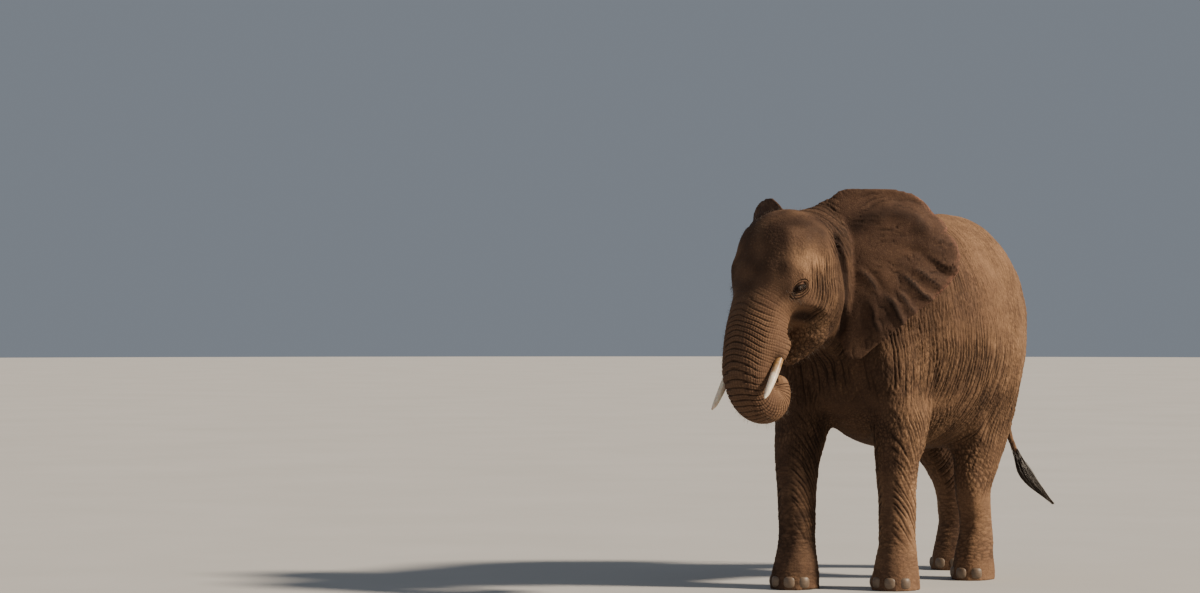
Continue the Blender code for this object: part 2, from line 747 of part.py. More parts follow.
def main():
    clear_scene()
    skin = material("skin", (0.17, 0.105, 0.066), 0.85)
    ivory = material("ivory", (0.80, 0.74, 0.62), 0.40)
    horn = material("nail", (0.48, 0.42, 0.34), 0.55)
    cornea = material("eye", (0.05, 0.03, 0.02), 0.10)
    hair = material("hair", (0.03, 0.025, 0.02), 0.70)
    sides = ((1, "left"), (-1, "right"))

    body = decimated(flat_soled(flesh()), FLESH_TRIANGLES, detail_weight)
    body_shell = grown(body, GAP)
    tree = BVHTree.FromPolygons(
        [v.co for v in body.vertices], [tuple(p.vertices) for p in body.polygons]
    )
    eyes = {name: eye_centre(tree, side) for side, name in sides}

    for part, mesh in flesh_pieces(body.copy()):
        for side, name in sides:
            if part == "head":
                socket = ellipsoid(eyes[name], [EYE_RADIUS + GAP] * 3, detail=2)
                mesh = combined(mesh, socket, "DIFFERENCE")
            if part == "trunk_base":
                mesh = combined(mesh, tusk(name, side, GAP), "DIFFERENCE")
        placed(part, mesh, skin)

    for side, name in sides:
        placed(f"eye_{name}", ellipsoid(eyes[name], [EYE_RADIUS] * 3, detail=2), cornea)
        placed(f"tusk_{name}", tusk(name, side, 0.0), ivory)
        trimmed = combined(ear(name, side), body_shell.copy(), "DIFFERENCE")
        placed(f"ear_{name}", largest(trimmed), skin)

    tuft = tail_tube(TAIL_TUFT, 2, 9, 1)
    tail = combined(tail_tube(TAIL, 2, 9, 1), body_shell.copy(), "DIFFERENCE")
    tail = combined(tail, grown(tuft, GAP), "DIFFERENCE")
    placed("tail", largest(tail), skin)
    placed("tail_tuft", tuft, hair)

    for side, name in sides:
        fore = (side * FORELEG[-2][1], FORELEG[-2][2] + FORE_STEP[name])
        hind = (side * HINDLEG[-2][1], HINDLEG[-2][2] + HIND_STEP[name])
        for end, foot, angles in (("fore", fore, FORE_NAILS), ("hind", hind, HIND_NAILS)):
            for count, angle in enumerate(angles, 1):
                mesh = combined(nail(tree, foot, angle), body_shell.copy(), "DIFFERENCE")
                placed(f"nail_{end}_{name}_{count}", largest(mesh), horn)
    centre_on_base()


main()
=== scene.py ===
"""African savanna elephant, life-size still model: its skin, eyes, tusks, nails and hair.

Metres, +Z up. The animal faces -Y and its left side is +X. One skin is grown over the CAD flesh,
then sculpted and wrinkled in code; everything else is a separate piece that sits in or on it.
"""

import itertools
import json
import math

import bmesh
import bpy
import numpy as np
from mathutils import Matrix, Vector
from mathutils.bvhtree import BVHTree
from mathutils.kdtree import KDTree

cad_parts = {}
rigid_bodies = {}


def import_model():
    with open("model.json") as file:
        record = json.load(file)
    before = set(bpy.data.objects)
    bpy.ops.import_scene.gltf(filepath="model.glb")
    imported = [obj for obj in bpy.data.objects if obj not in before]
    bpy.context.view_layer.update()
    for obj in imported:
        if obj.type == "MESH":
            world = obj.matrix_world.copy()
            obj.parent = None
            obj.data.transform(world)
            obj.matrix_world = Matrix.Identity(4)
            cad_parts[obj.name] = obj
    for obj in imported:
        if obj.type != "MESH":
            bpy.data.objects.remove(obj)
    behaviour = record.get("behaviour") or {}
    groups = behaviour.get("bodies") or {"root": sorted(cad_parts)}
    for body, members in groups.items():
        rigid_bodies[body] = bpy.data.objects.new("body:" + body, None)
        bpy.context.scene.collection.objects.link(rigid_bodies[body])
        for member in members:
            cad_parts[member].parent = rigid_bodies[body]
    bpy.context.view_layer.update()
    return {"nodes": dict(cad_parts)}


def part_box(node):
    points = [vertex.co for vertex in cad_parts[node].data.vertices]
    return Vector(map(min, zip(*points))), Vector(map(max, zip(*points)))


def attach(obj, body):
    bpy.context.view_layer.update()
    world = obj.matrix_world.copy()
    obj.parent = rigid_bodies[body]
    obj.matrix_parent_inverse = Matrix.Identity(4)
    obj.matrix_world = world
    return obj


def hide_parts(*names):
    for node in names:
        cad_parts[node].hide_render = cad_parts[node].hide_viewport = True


for spare in list(bpy.data.objects):
    bpy.data.objects.remove(spare)
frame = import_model()

# ---------------------------------------------------------------- dimensions (metres)
SHIFT = np.array((0.057, -0.432, 0.0))  # from the shoulder line on the floor to the origin
HEAD_ORIGIN = Vector((-0.030, -0.880, 0.0))  # below the point midway between the eyes
HEAD_YAW = math.radians(-6.0)
VOXEL = 0.0116  # mesh size of the plain skin
SMOOTHING = 60  # rounds of smoothing on it
HIDE = 0.003  # growth that makes up for the smoothing
FLESH_GROWTH = 0.0012  # closes the cuts between the nodes of flesh
LIP_HEIGHT = 1.432  # the sheath of each tusk ends here
SHEATH_RADIUS = (0.056, 0.040)  # of that sheath, at its root and at its lip
SIDES = (("left", 1), ("right", -1))
FLESH = [
    *"torso neck head jaw trunk_base trunk_upper trunk_bend trunk_lower trunk_tip tail".split(),
    *(
        node
        for end, side in itertools.product(("fore", "hind"), ("left", "right"))
        for node in (f"{end}leg_{side}_upper", f"{end}leg_{side}_lower", f"{end}foot_{side}")
    ),
]

# Trunk stations: forward of the eyes, height, half-width, half-depth.
TRUNK = (
    (-0.06, 2.04, 0.250, 0.185),
    (-0.005, 1.86, 0.238, 0.190),
    (0.078, 1.735, 0.190, 0.162),
    (0.130, 1.60, 0.184, 0.168),
    (0.178, 1.47, 0.168, 0.152),
    (0.203, 1.345, 0.152, 0.134),
    (0.163, 1.235, 0.138, 0.125),
    (0.095, 1.180, 0.128, 0.120),
    (0.015, 1.168, 0.118, 0.115),
    (-0.050, 1.200, 0.105, 0.100),
    (-0.078, 1.255, 0.090, 0.083),
    (-0.082, 1.300, 0.074, 0.066),
)

# Ear outline by height: where the sheet starts and ends, measured along it from its root line.
EAR_OUTLINE = (
    (2.490, 0.130, 0.330),
    (2.475, 0.040, 0.430),
    (2.440, -0.050, 0.525),
    (2.380, -0.155, 0.605),
    (2.300, -0.175, 0.670),
    (2.195, -0.130, 0.720),
    (2.070, -0.090, 0.755),
    (1.960, -0.080, 0.720),
    (1.870, -0.070, 0.645),
    (1.790, -0.055, 0.555),
    (1.710, -0.035, 0.440),
    (1.620, -0.010, 0.335),
    (1.530, 0.010, 0.240),
    (1.465, 0.045, 0.180),
    (1.428, 0.090, 0.135),
)
EAR_ROOT_Y = -0.415
EAR_FAN = (0.16, 2.22)  # where the fans of folds start: behind the root line, height
EAR_THICK, RIM_THINNING = 0.0125, 0.0045  # half the thickness at the root, less this at the rim
EAR_FLARE = {"left": (62.0, 24.0), "right": (71.0, 32.0)}
EAR_DROP = {"left": 0.0, "right": 0.050}
EAR_LEAN = {"left": 0.55, "right": 0.25}
EAR_FALL = {"left": (0.0, 0.0), "right": (0.50, 0.65)}
EAR_SEED = {"left": 3, "right": 4}
EAR_GRID = (96, 64)  # down the ear, across it
EAR_MARGIN, EAR_REACH = 0.05, 0.06  # how far from the sheet to look, and to take skin for ear

# Folds of the ear sheet: where they run (along, height), their width and their rise to the front.
EAR_FOLDS = (
    (((0.00, 2.38), (0.30, 2.44), (0.54, 2.37), (0.69, 2.25)), 0.050, 0.018),
    (
        ((0.05, 2.17), (0.12, 2.27), (0.29, 2.33), (0.45, 2.30), (0.50, 2.22), (0.46, 2.16)),
        0.054,
        -0.021,
    ),
    (((0.30, 2.12), (0.46, 2.09), (0.60, 1.99), (0.69, 1.92)), 0.030, 0.016),
    (((0.05, 2.03), (0.16, 1.93), (0.24, 1.83), (0.30, 1.74)), 0.024, 0.018),
    (((0.05, 2.00), (0.12, 1.93), (0.22, 1.83)), 0.017, -0.016),
    (((0.31, 1.99), (0.45, 1.87), (0.58, 1.75)), 0.017, -0.024),
    (((0.19, 1.87), (0.31, 1.73), (0.40, 1.60)), 0.018, -0.026),
    (((0.29, 1.87), (0.47, 1.69)), 0.014, -0.014),
    (((0.33, 1.88), (0.47, 1.72)), 0.013, 0.012),
    (((0.38, 2.02), (0.66, 1.84)), 0.014, -0.015),
    (((0.44, 2.10), (0.73, 1.96)), 0.013, -0.012),
    (((0.50, 2.19), (0.75, 2.11)), 0.013, -0.011),
    (((0.12, 1.81), (0.26, 1.54)), 0.016, -0.013),
    (((0.10, 1.80), (0.14, 1.60)), 0.024, 0.010),
    (
        ((-0.07, 1.97), (-0.06, 1.88), (-0.02, 1.72), (0.01, 1.61), (0.04, 1.52), (0.08, 1.46)),
        0.014,
        0.016,
    ),
)

# Folds over and under each eye: half-length, height of the arch, depth, width.
EYE_FOLDS = (
    (0.040, 0.0290, 0.0065, 0.0030),
    (0.058, 0.0450, 0.0040, 0.0034),
    (0.036, -0.0210, 0.0045, 0.0026),
    (0.048, -0.0340, 0.0050, 0.0030),
    (0.062, -0.0500, 0.0045, 0.0036),
    (0.078, -0.0680, 0.0035, 0.0042),
)
LID_BALL = 0.0290  # radius of the lids over the eyeball
EYE_SLIT = (0.0270, 0.0128, -0.0100)  # half-length, upper edge, lower edge
EYE_LIE = Vector((0, -0.22, -0.06))  # the eyes look a little forward and down
EYE_RADIUS = 0.0212

# Places on either side of the head: side, forward, height.
MOUTH = (
    (0.235, -0.005, 1.68),
    (0.205, -0.010, 1.60),
    (0.172, -0.010, 1.52),
    (0.140, -0.018, 1.44),
)
CHEEK_HOLLOW = (0.225, -0.085, 1.700)
BEHIND_CHEEK = (
    (0.20, -0.37, 2.27),
    (0.262, -0.350, 2.15),
    (0.262, -0.380, 2.05),
    (0.250, -0.420, 1.96),
    (0.252, -0.425, 1.86),
    (0.238, -0.427, 1.77),
    (0.200, -0.470, 1.68),
    (0.150, -0.495, 1.60),
    (0.100, -0.520, 1.53),
)

# Tusk centre line in the head's frame, from root to tip: side, forward, height, radius.
TUSK_ROOT = (
    (0.150, 0.030, 1.560, 0.0250),
    (0.163, 0.070, 1.495, 0.0262),
    (0.173, 0.112, 1.430, 0.0262),
)
TUSK = {
    "left": (
        *TUSK_ROOT,
        (0.183, 0.160, 1.360, 0.0250),
        (0.192, 0.212, 1.290, 0.0215),
        (0.199, 0.252, 1.240, 0.0150),
        (0.202, 0.268, 1.222, 0.0070),
    ),
    "right": (
        *TUSK_ROOT,
        (0.184, 0.160, 1.345, 0.0252),
        (0.194, 0.212, 1.250, 0.0215),
        (0.202, 0.258, 1.172, 0.0150),
        (0.206, 0.278, 1.145, 0.0070),
    ),
}

# Centre line of the tail's hair; the flesh ends at the third point.
TAIL_HAIR = (
    (0.005, 1.895, 1.050),
    (0.030, 1.905, 0.890),
    (0.070, 1.935, 0.765),
    (0.103, 1.960, 0.670),
    (0.145, 1.985, 0.590),
    (0.200, 2.020, 0.520),
    (0.268, 2.075, 0.435),
)
TAIL_HAIRS, EYE_LASHES, BRISTLES = 420, 36, 2600  # number; the lashes are for each eye

# Toenails: half-width, half-thickness, reach above and below the middle, height of the middle.
NAIL_WIDE, NAIL_THICK, NAIL_ABOVE, NAIL_BELOW, NAIL_HEIGHT = 0.0365, 0.016, 0.036, 0.034, 0.047
NAIL_FLOOR = 0.004  # no nail reaches lower than this
TUSK_TIP = 0.010  # length of the rounded end of a tusk


# ---------------------------------------------------------------- small maths
def ramp(low, high, value):
    """0 below low, 1 above high, smooth between; works on numbers and arrays."""
    share = np.clip((value - low) / (high - low), 0.0, 1.0)
    return share * share * (3.0 - 2.0 * share)


def bell(value, power=2.0):
    """1 at zero, falling off on both sides of it."""
    return np.exp(-(np.abs(value) ** power))


def ridges(value, power=1.0):
    """0 at every whole number and 1 midway, with sharper hollows as the power falls."""
    return np.abs(np.sin(math.pi * value)) ** power


def columns(*values):
    return np.stack(values, -1)


def folded(points):
    """Points with the right half folded over onto the left."""
    return columns(np.abs(points[:, 0]), points[:, 1], points[:, 2])


def turned(first, through, last, c, s):
    """Rows with their first and last columns turned about the middle one."""
    return columns(c * first + s * last, through, c * last - s * first)


def head_point(side, forward, height):
    turned = Matrix.Rotation(HEAD_YAW, 3, "Z") @ Vector((side, -forward, 0.0))
    return HEAD_ORIGIN + turned + Vector((0.0, 0.0, height)) + Vector(SHIFT)


def head_frame(co):
    """Points as (side, forward, height) of the head."""
    x, y, z = (co - np.array(HEAD_ORIGIN + Vector(SHIFT))).T
    c, s = math.cos(HEAD_YAW), math.sin(HEAD_YAW)
    return columns(x * c + y * s, x * s - y * c, z)


def body_frame(co):
    """Points from the shoulder line, with the right half folded over onto the left."""
    return folded(co - SHIFT)


def through(rows, per_span):
    """Catmull-Rom rows through the given ones, per_span to a span."""
    rows = [np.array(row, float) for row in rows]
    padded = [2 * rows[0] - rows[1], *rows, 2 * rows[-1] - rows[-2]]
    found = []
    for i in range(len(rows) - 1):
        a, b, c, d = padded[i : i + 4]
        for step in range(per_span):
            t = step / per_span
            bend = (2 * a - 5 * b + 4 * c - d) * t**2 + (3 * b - a - 3 * c + d) * t**3
            found.append(0.5 * (2 * b + (c - a) * t + bend))
    return np.array([*found, rows[-1]])


def line_distance(co, points):
    """Distance from each point to a run of straight lines, and how far along it, 0 to 1."""
    points = np.array(points, float)
    best = np.full(len(co), 1e9)
    share = np.zeros(len(co))
    for i in range(len(points) - 1):
        start, run = points[i], points[i + 1] - points[i]
        t = np.clip(((co - start) @ run) / (run @ run), 0, 1)
        away = np.linalg.norm(co - start - t[:, None] * run, axis=1)
        closer = away < best
        best[closer] = away[closer]
        share[closer] = (i + t[closer]) / (len(points) - 1)
    return best, share


def swelling(co, points, width, height, taper=0.12):
    """A smooth ridge of that height along a line; below zero it is a groove."""
    distance, share = line_distance(co, points)
    ends = ramp(0.0, taper, share) * ramp(1.0, 1.0 - taper, share)
    return height * np.exp(-((distance / width) ** 2)) * ends


def mound(co, centre, radii, height):
    away = np.linalg.norm((co - np.array(centre)) / np.array(radii), axis=1)
    return height * np.exp(-(away**2))


SHUFFLE = np.random.RandomState(7).permutation(256).astype(np.int32)
SLOPES = np.random.RandomState(8).normal(size=(256, 3)).astype(np.float32)
SLOPES /= np.linalg.norm(SLOPES, axis=1)[:, None]
SPOTS = np.random.RandomState(9).uniform(0.05, 0.95, (256, 3)).astype(np.float32)


def lattice(points):
    """The cell that each point lies in and its place within it."""
    base = np.floor(points)
    return base.astype(np.int32), points - base


def shuffled(cell, corner):
    """A random number under 256 for the neighbour of each cell towards a corner."""
    i, j, k = (cell[:, n] + corner[n] for n in range(3))
    return SHUFFLE[(SHUFFLE[(SHUFFLE[i & 255] + j) & 255] + k) & 255]


def noise(points, seed=0):
    """Gradient noise in about -1 to 1 at points given in cells."""
    cell, part = lattice(np.asarray(points, np.float32) + np.float32(17.3 * seed))
    fade = part * part * part * (part * (part * 6 - 15) + 10)
    total = np.zeros(len(part), np.float32)
    for corner in itertools.product((0, 1), repeat=3):
        weight = np.ones(len(part), np.float32)
        for n in range(3):
            weight *= fade[:, n] if corner[n] else 1 - fade[:, n]
        slope = SLOPES[shuffled(cell, corner)]
        total += weight * (slope * (part - np.array(corner, np.float32))).sum(1)
    return total * 1.7


def cells(points, seed=0):
    """0 on the borders of random cells about one unit across, rising inside them."""
    cell, part = lattice(np.asarray(points, np.float32) + np.float32(9.7 * seed))
    nearest = np.full(len(part), 9.0, np.float32)
    second = nearest.copy()
    for corner in itertools.product((-1, 0, 1), repeat=3):
        away = SPOTS[shuffled(cell, corner)] + np.array(corner, np.float32) - part
        gap = np.einsum("ij,ij->i", away, away)
        second = np.minimum(second, np.maximum(nearest, gap))
        nearest = np.minimum(nearest, gap)
    return np.sqrt(second) - np.sqrt(nearest)


# ---------------------------------------------------------------- mesh helpers
def new_object(name, data):
    made = bpy.data.objects.new(name, data)
    bpy.context.scene.collection.objects.link(made)
    return made


def mesh_from(bm, name):
    mesh = bpy.data.meshes.new(name)
    bm.to_mesh(mesh)
    bm.free()
    return mesh


def evaluated(obj):
    graph = bpy.context.evaluated_depsgraph_get()
    mesh = bpy.data.meshes.new_from_object(obj.evaluated_get(graph), depsgraph=graph)
    bpy.data.objects.remove(obj)
    return mesh


def read(items, name, width=1, kind=np.float32):
    """One property of all the items of a mesh, as an array."""
    values = np.empty(len(items) * width, kind)
    items.foreach_get(name, values)
    return values.reshape(-1, width) if width > 1 else values


def vertex_array(mesh):
    return read(mesh.vertices, "co", 3).astype(float)


def normal_array(mesh):
    return read(mesh.vertex_normals, "vector", 3).astype(float)


def write_vertices(mesh, co):
    mesh.vertices.foreach_set("co", co.astype(np.float32).ravel())
    mesh.update()


def set_values(mesh, name, values):
    attribute = mesh.attributes.new(name, "FLOAT", "POINT")
    attribute.data.foreach_set("value", np.asarray(values, np.float32))


def set_map(mesh, uv):
    """Adds the given unwrap to the mesh as the UV map OFBake."""
    layer = mesh.uv_layers.new(name="OFBake")
    layer.data.foreach_set("uv", np.asarray(uv, np.float32).ravel())


def smoothed(mesh, rounds, share):
    """Evens the surface; share from 0 to 1 says how much each vertex takes part."""
    a, b = read(mesh.edges, "vertices", 2, np.int32).T
    co = vertex_array(mesh)
    size = len(co)
    count = np.maximum(np.bincount(np.concatenate([a, b]), minlength=size), 1)[:, None]
    for _ in range(rounds):
        sums = [np.bincount(a, co[b, k], size) + np.bincount(b, co[a, k], size) for k in range(3)]
        co += (0.5 * share)[:, None] * (columns(*sums) / count - co)
    write_vertices(mesh, co)


def largest_shell(bm):
    """Deletes every loose shell of the bmesh but the biggest."""
    left = set(bm.verts)
    shells = []
    while left:
        start = left.pop()
        reached, front = [start], [start]
        while front:
            for edge in front.pop().link_edges:
                for vert in edge.verts:
                    if vert in left:
                        left.discard(vert)
                        reached.append(vert)
                        front.append(vert)
        shells.append(reached)
    shells.sort(key=len)
    spare = [vert for shell in shells[:-1] for vert in shell]
    if spare:
        bmesh.ops.delete(bm, geom=spare, context="VERTS")


def finished(name, mesh, material, nodes=()):
    """Makes a mesh a piece of the model, standing for the given nodes."""
    mesh.materials.clear()
    mesh.materials.append(material)
    mesh.shade_smooth()
    piece = new_object(name, mesh)
    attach(piece, "root")
    if nodes:
        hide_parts(*nodes)


# ---------------------------------------------------------------- ears
def ear_surface(name, side, along, height):
    """Middle of the plain ear sheet, at arrays of distance from the root line and height."""
    root_flare, rim_flare = (math.radians(v) for v in EAR_FLARE[name])
    outward, back = 0.0, 0.0
    for step in range(24):
        share = (step + 0.5) / 24
        flare = root_flare + (rim_flare - root_flare) * np.maximum(0.0, along * share) / 0.75
        outward = outward + np.sin(flare) * along / 24
        back = back + np.cos(flare) * along / 24
    lean = EAR_LEAN[name] * np.maximum(0.0, height - 2.22) ** 1.6
    hang = 0.05 * ramp(-1.85, -1.45, -height)
    wave = 0.012 * np.sin(9.0 * along + 7.0 * height)
    root_side = 0.245 - 0.08 * EAR_LEAN[name] * ramp(2.05, 2.40, height)
    inner, outer = EAR_FALL[name]
    fall = inner * np.maximum(0.0, 0.17 - along) + outer * np.maximum(0.0, along - 0.20) ** 2
    fall = fall * ramp(2.15, 2.45, height)
    x = side * (root_side + outward - lean - hang + wave) - 0.02
    y = EAR_ROOT_Y + back + 0.35 * lean
    return np.stack([x, y, height - EAR_DROP[name] - fall], -1) + SHIFT


def sheet_normals(middle, side):
    normal = np.cross(np.gradient(middle, axis=1), np.gradient(middle, axis=0)) * side
    return normal / np.maximum(np.linalg.norm(normal, axis=2), 1e-9)[:, :, None]


def ear_folds(along, height, seed):
    """Rise of an ear's named folds, and how deep each place lies in one of its slots, 0 to 1, for
    the painted shade there.
    """
    place = columns(along, height, 0 * along)
    drift = columns(noise(place / 0.09, seed + 5), noise(place / 0.09, seed + 6), 0 * along)
    place = place + 0.012 * drift
    rise, slot = np.zeros(len(place)), np.zeros(len(place))
    for line, width, depth in EAR_FOLDS:
        line = [(*point, 0.0) for point in line]
        rise += swelling(place, line, width, depth, 0.35)
        if depth < 0:
            # painted shade in the slot
            painted_shade = swelling(place, line, 0.62 * width, min(1.0, -depth / 0.020), 0.35)
            slot = np.maximum(slot, painted_shade * min(1.0, 0.020 / width))
    return rise, slot


def ear_sheet(name, side):
    """Grid of the folded ear: middle points, normals towards its front, (share, along, height)."""
    (rows, across), seed = EAR_GRID, EAR_SEED[name]
    outline = through(EAR_OUTLINE, 12)
    steps = np.linspace(0, len(outline) - 1, rows)
    at = np.arange(len(outline))
    height, start, end = (np.interp(steps, at, column) for column in outline.T)
    line = columns(height * 16, height * 0, height * 0)
    ragged = 0.55 * noise(line, seed) + 0.45 * noise(line * 2.7, seed + 9)
    end = end + 0.022 * ragged * ramp(2.46, 2.35, height) * ramp(1.42, 1.55, height)
    end = end - 0.045 * bell((height - 2.215) / 0.014)
    share = np.linspace(0, 1, across)[None, :] * np.ones((rows, 1))
    along = start[:, None] + (end - start)[:, None] * share
    tall = height[:, None] * np.ones_like(share)
    middle = ear_surface(name, side, along, tall)
    normal = sheet_normals(middle, side)
    # named folds, then soft ones that fan out from the root towards the rear and lower rim
    named = ear_folds(along.ravel(), tall.ravel(), seed)[0].reshape(rows, across)
    away_a, away_h = along + EAR_FAN[0], tall - EAR_FAN[1]
    angle, reach = np.arctan2(away_h, away_a), np.hypot(away_a, away_h)

    def fan(turns, rounds, number):
        places = columns(angle * turns, reach * rounds, 0 * reach).reshape(-1, 3)
        return np.abs(noise(places, seed + number)).reshape(rows, across)

    toward_rim = ramp(0.15, 0.95, share) * ramp(2.42, 2.15, tall) * ramp(1.42, 1.60, tall)
    soft = 0.016 * (fan(4.2, 1.3, 20) - 0.30) + 0.010 * (fan(13.0, 3.5, 30) - 0.25)
    curl = 0.030 * ramp(0.90, 1.0, share) ** 2 * ramp(1.70, 2.0, tall) * ramp(2.46, 2.36, tall)
    middle = middle + normal * (named + soft * toward_rim + curl)[:, :, None]
    return middle, sheet_normals(middle, side), columns(share, along, tall)


def ear_mesh(name, side):
    """The folded sheet as a closed solid, thin at its rim."""
    middle, normal, place = ear_sheet(name, side)
    rows, across = middle.shape[:2]
    size = rows * across
    offset = normal * (EAR_THICK - RIM_THINNING * place[:, :, :1])
    corners = np.concatenate([(middle + offset).reshape(-1, 3), (middle - offset).reshape(-1, 3)])
    grid = np.arange(size).reshape(rows, across)
    front = columns(grid[:-1, :-1], grid[:-1, 1:], grid[1:, 1:], grid[1:, :-1]).reshape(-1, 4)
    back = front[:, ::-1] + size
    ring = np.concatenate([grid[0, :], grid[1:, -1], grid[-1, -2::-1], grid[-2:0:-1, 0]])
    after = np.roll(ring, -1)
    rim = columns(after, ring, ring + size, after + size)
    mesh = bpy.data.meshes.new("ear")
    mesh.from_pydata(corners.tolist(), [], np.concatenate([front, back, rim]).tolist())
    bm = bmesh.new()
    bm.from_mesh(mesh)
    bmesh.ops.recalc_face_normals(bm, faces=bm.faces)
    return mesh_from(bm, "ear")


def ear_places():
    """For each ear, what finds a point's nearest place on it, and the place's own values."""
    grids = []
    for name, side in SIDES:
        middle, normal, place = (values.reshape(-1, 3) for values in ear_sheet(name, side))
        tree = KDTree(len(middle))
        for i, point in enumerate(middle):
            tree.insert(point, i)
        tree.balance()
        grids.append((tree, middle, normal, place))
    return grids


EARS = ear_places()


def ear_lookup(co):
    """For every point: how surely it is ear, its share from root to rim, along, height, front."""
    found = np.zeros((len(co), 5))
    for tree, middle, normal, place in EARS:
        low, high = middle.min(0) - EAR_MARGIN, middle.max(0) + EAR_MARGIN
        for i in np.nonzero(((co > low) & (co < high)).all(1))[0]:
            _, index, distance = tree.find(co[i])
            if distance < EAR_REACH:
                front = (co[i] - middle[index]) @ normal[index]
                sure = 1.0 - ramp(0.017, 0.034, abs(front))
                sure *= ramp(-0.02, 0.05, place[index][1])
                sure *= 1.0 - ramp(0.02, 0.04, distance)
                found[i] = (sure, *place[index], front)
    return found


# ---------------------------------------------------------------- the skin's plain shape
def tusk_rows(name, side, per_span):
    return [(head_point(side * s, f, z), r) for s, f, z, r in through(TUSK[name], per_span)]


def round_about(centre, first, second, radius, sides):
    """Points of a circle spanned by two unit vectors."""
    turns = [2 * math.pi * k / sides for k in range(sides)]
    return [centre + (first * math.cos(t) + second * math.sin(t)) * radius for t in turns]


def heading(path, i):
    return (path[min(i + 1, len(path) - 1)] - path[max(i - 1, 0)]).normalized()


def tube_mesh(points, radii, sides):
    """Round tube along points, untwisted and closed at both ends."""
    points = [Vector(point) for point in points]
    bm = bmesh.new()
    loops = []
    for i, (point, radius) in enumerate(zip(points, radii)):
        along = heading(points, i)
        across = Vector((1, 0, 0))
        across = (across - along * across.dot(along)).normalized()
        circle = round_about(point, across, across.cross(along), radius, sides)
        loops.append([bm.verts.new(spot) for spot in circle])
    for first, second in zip(loops, loops[1:]):
        for k in range(sides):
            after = (k + 1) % sides
            bm.faces.new((first[k], first[after], second[after], second[k]))
    bm.faces.new(loops[0])
    bm.faces.new(loops[-1])
    bmesh.ops.recalc_face_normals(bm, faces=bm.faces)
    return mesh_from(bm, "tube")


def flesh_mesh():
    """All flesh as one closed sheet of even quads, still smooth."""
    bm = bmesh.new()
    for node in FLESH:
        part = bmesh.new()
        part.from_mesh(frame["nodes"][node].data)
        bmesh.ops.remove_doubles(part, verts=part.verts, dist=1e-5)
        part.normal_update()
        for vert in part.verts:
            vert.co += vert.normal * FLESH_GROWTH
        bm.from_mesh(mesh_from(part, node))
    for name, side in SIDES:
        bm.from_mesh(ear_mesh(name, side))
        root = [point for point, _ in tusk_rows(name, side, 6) if point.z > LIP_HEIGHT]
        bm.from_mesh(tube_mesh(root, np.linspace(*SHEATH_RADIUS, len(root)), 20))
    obj = new_object("flesh", mesh_from(bm, "flesh"))
    modifier = obj.modifiers.new("Remesh", "REMESH")
    modifier.mode = "VOXEL"
    modifier.voxel_size = VOXEL
    bm = bmesh.new()
    bm.from_mesh(evaluated(obj))
    largest_shell(bm)
    return mesh_from(bm, "flesh")


def trunk_place(h):
    """From head-frame points: radius as a share of the trunk's, then length along the trunk,
    angle round it, its size there and how far the point lies to its front."""
    rows = through(TRUNK, 8)
    nearest, radius = np.full(len(h), 1e9), np.full(len(h), 1e9)
    found = np.zeros((len(h), 4))
    length = 0.0
    for a, b in zip(rows, rows[1:]):
        run = b[:2] - a[:2]
        size = np.linalg.norm(run)
        t = np.clip(((h[:, 1:] - a[:2]) @ run) / size**2, 0, 1)
        away = h[:, 1:] - a[:2] - t[:, None] * run
        wide, deep = a[2] + t * (b[2] - a[2]), a[3] + t * (b[3] - a[3])
        front = away[:, 0] * -run[1] / size + away[:, 1] * run[0] / size
        gap = np.hypot(away[:, 0], away[:, 1])
        closer = gap < nearest
        nearest[closer] = gap[closer]
        radius[closer] = np.hypot(h[:, 0] / wide, gap / deep)[closer]
        angle = np.arctan2(h[:, 0] / wide, front / deep)
        found[closer] = columns(length + t * size, angle, 0.5 * (wide + deep), front)[closer]
        length += size
    return radius, found


# ---------------------------------------------------------------- anatomy on the plain shape
# Mounds of the head (centre, radii, rise): temple, brow, cheek hollow, jowl, bridge of the trunk.
HEAD_MOUNDS = (
    ((0.27, -0.155, 2.06), (0.10, 0.10, 0.10), -0.036),
    ((0.25, -0.015, 1.96), (0.07, 0.055, 0.06), 0.014),
    (CHEEK_HOLLOW, (0.09, 0.080, 0.045), -0.036),
    ((0.17, -0.24, 1.58), (0.08, 0.12, 0.07), 0.026),
    ((0.0, 0.10, 1.95), (0.10, 0.2, 0.10), -0.010),
)
# Ridges of the head (line, width, rise): brow, cheekbone, mouth.
HEAD_RIDGES = (
    (
        ((0.15, 0.00, 2.26), (0.180, 0.031, 2.175), (0.218, 0.070, 2.01), (0.212, 0.060, 1.80)),
        0.052,
        0.010,
    ),
    (
        ((0.25, 0.00, 1.775), (0.28, -0.09, 1.765), (0.29, -0.17, 1.745), (0.28, -0.24, 1.70)),
        0.028,
        0.012,
    ),
    (MOUTH, 0.014, -0.030),
)
# Ridges of the body: elbow fold, spine, groin; then the crease behind the shoulder and its blade.
BODY_RIDGES = (
    (
        ((0.40, 0.275, 1.20), (0.395, 0.255, 1.08), (0.37, 0.235, 0.94), (0.34, 0.22, 0.80)),
        0.022,
        0.024,
    ),
    (((0.0, -0.05, 2.42), (0.0, 0.50, 2.36), (0.0, 1.15, 2.38), (0.0, 1.62, 2.12)), 0.06, 0.008),
    (((0.40, 0.86, 1.12), (0.36, 0.90, 1.00), (0.33, 0.98, 0.88)), 0.05, 0.020),
)
SHOULDER_RIDGES = (
    (
        ((0.50, 0.26, 1.80), (0.50, 0.22, 1.56), (0.48, 0.20, 1.30), (0.42, 0.235, 1.10)),
        0.045,
        -0.018,
    ),
    (((0.22, -0.02, 2.26), (0.36, 0.00, 1.95), (0.42, 0.02, 1.62)), 0.07, 0.014),
)
HIP = ((0.40, 1.17, 2.02), (0.10, 0.16, 0.14), 0.022)


